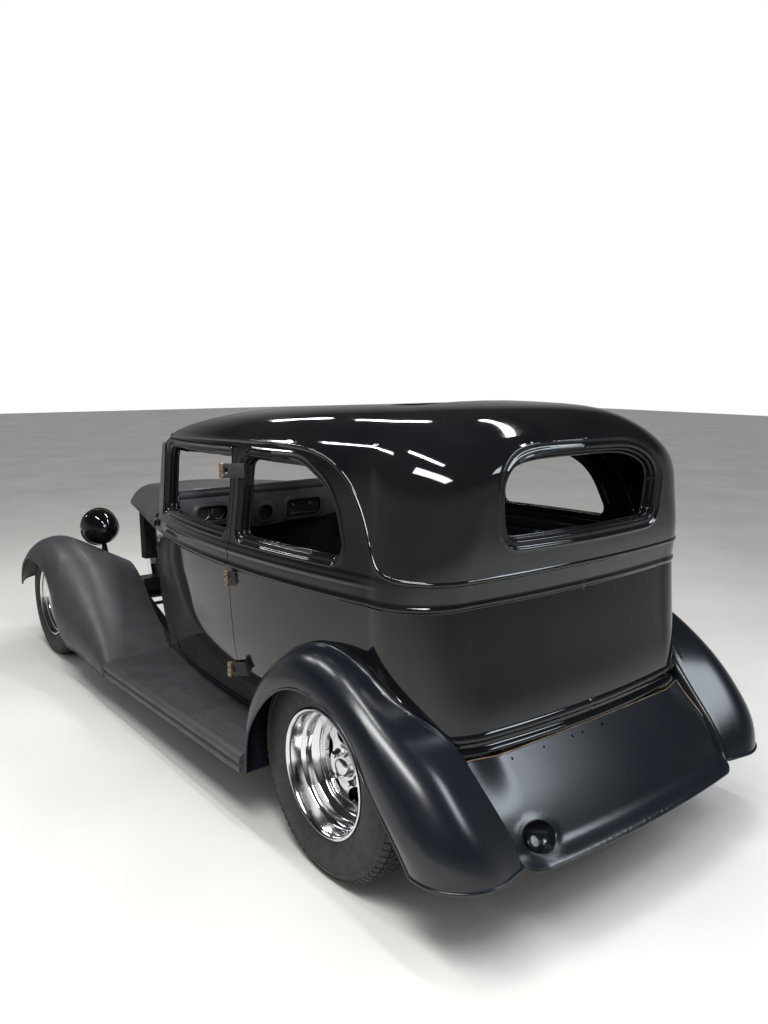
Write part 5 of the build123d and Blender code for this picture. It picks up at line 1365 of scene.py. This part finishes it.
# Dashboard: a pressed steel face in dark grey with raised rims round its three openings, under a padded roll.
# It is a sheet with holes, with dark boxes behind them and small bright steel fittings.
add_finish("dash_charcoal", (0.045, 0.048, 0.053), (0.062, 0.066, 0.072), 8.0, (0.38, 0.5), 420, 0.12)
add_finish("shaft_steel", (0.16, 0.16, 0.165), (0.27, 0.27, 0.275), 10.0, (0.35, 0.5), 420, 0.2, 0.9)
dash_half = 545
dash_edge = fine(rounded([(dash_half, 1084), (dash_half, 958), (240, 930), (150, 905), (40, 905), (-30, 914),
                          (-260, 912), (-470, 955), (-dash_half, 1000), (-dash_half, 1084)],
                         (0, 70, 60, 40, 40, 40, 60, 80, 60, 0)), 10)
dash_edge = [q for i, q in enumerate(dash_edge) if math.dist(q, dash_edge[i - 1]) > 1.0]
gauge_hole = round_loop(92, 972, 42, 44)
radio_hole = fine(rounded([(-32, 930), (-32, 1028), (-246, 1028), (-246, 930)], (26, 26, 26, 26)), 7)
cluster_hole = fine(rounded([(466, 962), (466, 1036), (304, 1036), (304, 962)], (34, 34, 34, 34)), 7)
dash_holes = [gauge_hole, radio_hole, cluster_hole]


def dash_place(y, z):
    """The dashboard's face, bowed towards its ends, in the frame with its normals."""
    x = 1482.0 + 12 * ((z - 1020) / 75) ** 2 + 18 * (y / dash_half) ** 2
    lift = np.zeros(len(y))
    for hole in dash_holes:
        lift = np.maximum(lift, 7.0 * smooth_step(20, 9, gap_to(hole, xy(y, z))))
    base = tipped(np.stack([x - lift, y, z], -1))
    n = unit(np.stack([-np.ones(len(y)), 36 * y / dash_half ** 2, 24 * (z - 1020) / 75 ** 2], -1))
    flat = np.stack([x, y, z], -1)
    return base, (tipped(flat + n) - tipped(flat)) * 1000


face = panel(dash_place, dash_edge, dash_holes, list(range(-540, 541, 14)), list(range(910, 1083, 12)),
             6.0, (2, 5, 8, 11, 14, 17, 21))
roll = [(1490, 1078), (1481, 1088), (1479, 1100), (1484, 1113), (1496, 1121), (1515, 1123), (1544, 1118),
        (1600, 1101), (1642, 1087)]
roll = spline(np.arange(9.0), np.array(roll, float), np.linspace(0, 8, 50))
roll_grid = [[(x + 18 * (y / dash_half) ** 2 * max(0.0, (1642 - x) / 160), y, z) for x, z in roll]
             for y in np.linspace(-548, 548, 40)]
roll_v, roll_f, _ = sheet(tipped(np.array(roll_grid)), 5.0, np.array([-0.3, 0, 1.0]))
settled(new_object("dashboard_face", *joined([face, (roll_v, roll_f)]), sharp=45), "body", "dash_charcoal",
        "dashboard")
dark = [bar((1504, -139, 979), (1550, -139, 979), 222, 108, 3),
        bar((1516, 385, 999), (1550, 385, 999), 172, 84, 3),
        ring([(1506, 1.0), (1506, 42), (1530, 42), (1530, 1.0)], (0, 92, 972), 40, "x")]
knob = [(1494, 1.0), (1494, 8), (1496, 10), (1503, 10), (1503, 1.0)]
dial = [(1508, 30), (1506, 33), (1508, 36), (1515, 36), (1515, 30)]
switch = [(1484, 1.0), (1484, 5), (1486, 7), (1494, 7), (1494, 1.0)]
bright = [ring(knob, (0, y, 996), 28, "x") for y in (-84, -190)]
bright.append(bar((1498, -60, 950), (1498, -222, 950), 5, 9, 1.5))
bright += [ring(dial, (0, y, 999), 40, "x") for y in (345, 425)]
bright.append(ring(switch, (0, 58, 1072), 24, "x"))
for name, parts, slot in (("dash_backs", dark, "core_black"), ("dash_fittings", bright, "shaft_steel")):
    v, f = joined(parts)
    settled(new_object(name, tipped(v), f, sharp=35), "body", slot)

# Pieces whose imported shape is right: cowl, firewall, floor, frame, engine, axles, grille and the like, in
# painted steel, cast iron and alloy. Their facets are joined and shaded smooth.
add_finish("inner_black", (0.008, 0.008, 0.009), (0.016, 0.016, 0.017), 9.0, (0.45, 0.6), 350, 0.15)
add_finish("frame_black", (0.007, 0.007, 0.008), (0.014, 0.014, 0.015), 8.0, (0.28, 0.4), 260, 0.1,
           0.0, 0.3, 0.15)
add_finish("grille_bright", (0.5, 0.5, 0.52), (0.64, 0.64, 0.66), 12.0, (0.18, 0.28), 500, 0.05, 1.0)
add_finish("brake_steel", (0.3, 0.3, 0.31), (0.45, 0.44, 0.44), 14.0, (0.35, 0.5), 500, 0.2, 0.9)
add_finish("engine_iron", (0.12, 0.12, 0.125), (0.2, 0.2, 0.205), 12.0, (0.5, 0.7), 400, 0.5, 0.6)
add_finish("gearbox_alloy", (0.34, 0.34, 0.35), (0.48, 0.48, 0.5), 12.0, (0.42, 0.6), 450, 0.5, 0.85)
add_finish("tank_steel", (0.02, 0.02, 0.022), (0.035, 0.035, 0.038), 9.0, (0.4, 0.55), 300, 0.2, 0.2)
slot_of = {part["node"]: part["material_slot"] for part in frame["record"]["subparts"]}
for node in sorted(frame["nodes"]):
    packed = frame["nodes"][node]
    if not packed.hide_render:
        v = [v.co[:] for v in packed.data.vertices]
        f = [tuple(p.vertices) for p in packed.data.polygons]
        piece = new_object(node + "_dressed", *welded(v, f, reach=2e-5), sharp=34)
        settled(piece, packed["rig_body"], slot_of[node], node)

# Camera as it stood for the photograph: behind the car on its left side, at a standing person's height. Its
# place and angles were fitted to the wheels, the floor and the body's lines.
camera = bpy.data.objects.new("camera", bpy.data.cameras.new("camera"))
bpy.context.scene.collection.objects.link(camera)
camera.data.lens = 29.3
camera.data.sensor_width = 36
yaw, pitch, roll = math.radians(-38.33), math.radians(-9.66), math.radians(0.34)
forward = Vector((math.cos(pitch) * math.cos(yaw), math.cos(pitch) * math.sin(yaw), math.sin(pitch)))
camera.location = (-3.439, 2.217, 1.687)
camera.rotation_mode = "QUATERNION"
camera.rotation_quaternion = forward.to_track_quat("-Z", "Y") @ Matrix.Rotation(roll, 3, "Z").to_quaternion()
bpy.context.scene.camera = camera
bpy.context.scene.view_settings.view_transform = "Standard"

# Studio: a pale floor, one wide soft lamp that mirrors don't show, a skylight, a cool panel behind the car
# and six ceiling tubes, whose reflections lie on the roof and the rear corner as in the photo.
floor_v, floor_f = grid_mesh([[(x, y, 0) for y in (-30, 0, 30)] for x in (-30, 0, 30)])
floor = new_object("floor", floor_v, [tuple(reversed(f)) for f in floor_f])
floor.data.materials.append(finish_of("floor_pale", (0.56, 0.55, 0.53), (0.62, 0.61, 0.59), 0.9, (0.5, 0.65),
                                      60, 0.1))


def lamp(name, place, size, power, glossy=True, colour=(1, 1, 1)):
    light = bpy.data.lights.new(name, "AREA")
    light.shape = "RECTANGLE"
    light.size, light.size_y = size
    light.energy = power
    light.color = colour
    holder = bpy.data.objects.new(name, light)
    holder.location = place
    holder.visible_glossy = glossy
    holder.visible_camera = False
    bpy.context.scene.collection.objects.link(holder)


ceiling = 3.1
lamp("soft_box", (-0.5, 0.5, 5.0), (7.0, 6.0), 70, glossy=False)
lamp("skylight", (-2.5, 1.95, ceiling), (2.3, 0.6), 115)
lamp("rear_panel", (-3.9, -1.9, ceiling), (2.0, 1.2), 90, colour=(0.84, 0.92, 1.0))
# Columns: name, x, y
for name, x, y in (("tube_a", 0.4, 1.35), ("tube_b", -1.4, 1.0), ("tube_c", 2.3, 1.4), ("tube_d", 0.6, -0.5),
                   ("tube_e", -1.2, -0.9), ("tube_f", 2.5, -0.7)):
    lamp(name, (x, y, ceiling), (1.25, 0.11), 22)

# Room: white to the camera and to diffuse light, at a strength of 1 to the camera, mirrors and glass and of
# 0.6 elsewhere. Mirrors and glass see it grey at the horizon and dark overhead.
world = bpy.data.worlds.new("room")
bpy.context.scene.world = world
world.use_nodes = True
nodes, links = world.node_tree.nodes, world.node_tree.links
background = nodes["Background"]
path = nodes.new("ShaderNodeLightPath")
place = nodes.new("ShaderNodeTexCoord")
parts = nodes.new("ShaderNodeSeparateXYZ")
links.new(place.outputs["Generated"], parts.inputs[0])
rise = nodes.new("ShaderNodeValToRGB")
for stop, at, tone in zip(rise.color_ramp.elements, (0.05, 0.34),
                          ((0.30, 0.30, 0.295, 1), (0.03, 0.03, 0.032, 1))):
    stop.position = at
    stop.color = tone
links.new(parts.outputs["Z"], rise.inputs["Fac"])


def any_of(*kinds):
    """One where a ray is of one of these kinds."""
    total = path.outputs[kinds[0]]
    for kind in kinds[1:]:
        more = nodes.new("ShaderNodeMath")
        more.operation = "ADD"
        links.new(total, more.inputs[0])
        links.new(path.outputs[kind], more.inputs[1])
        total = more.outputs[0]
    return total


pale = nodes.new("ShaderNodeMix")
pale.data_type = "RGBA"
ends = {k.name: k for k in pale.inputs if k.type == "RGBA"}
ends["B"].default_value = (1, 1, 1, 1)
links.new(rise.outputs["Color"], ends["A"])
links.new(any_of("Is Camera Ray", "Is Diffuse Ray"), pale.inputs[0])
links.new([k for k in pale.outputs if k.type == "RGBA"][0], background.inputs["Color"])
level = nodes.new("ShaderNodeMapRange")
level.inputs["To Min"].default_value = 0.6
level.inputs["To Max"].default_value = 1.0
links.new(any_of("Is Camera Ray", "Is Glossy Ray", "Is Transmission Ray"), level.inputs["Value"])
links.new(level.outputs["Result"], background.inputs["Strength"])
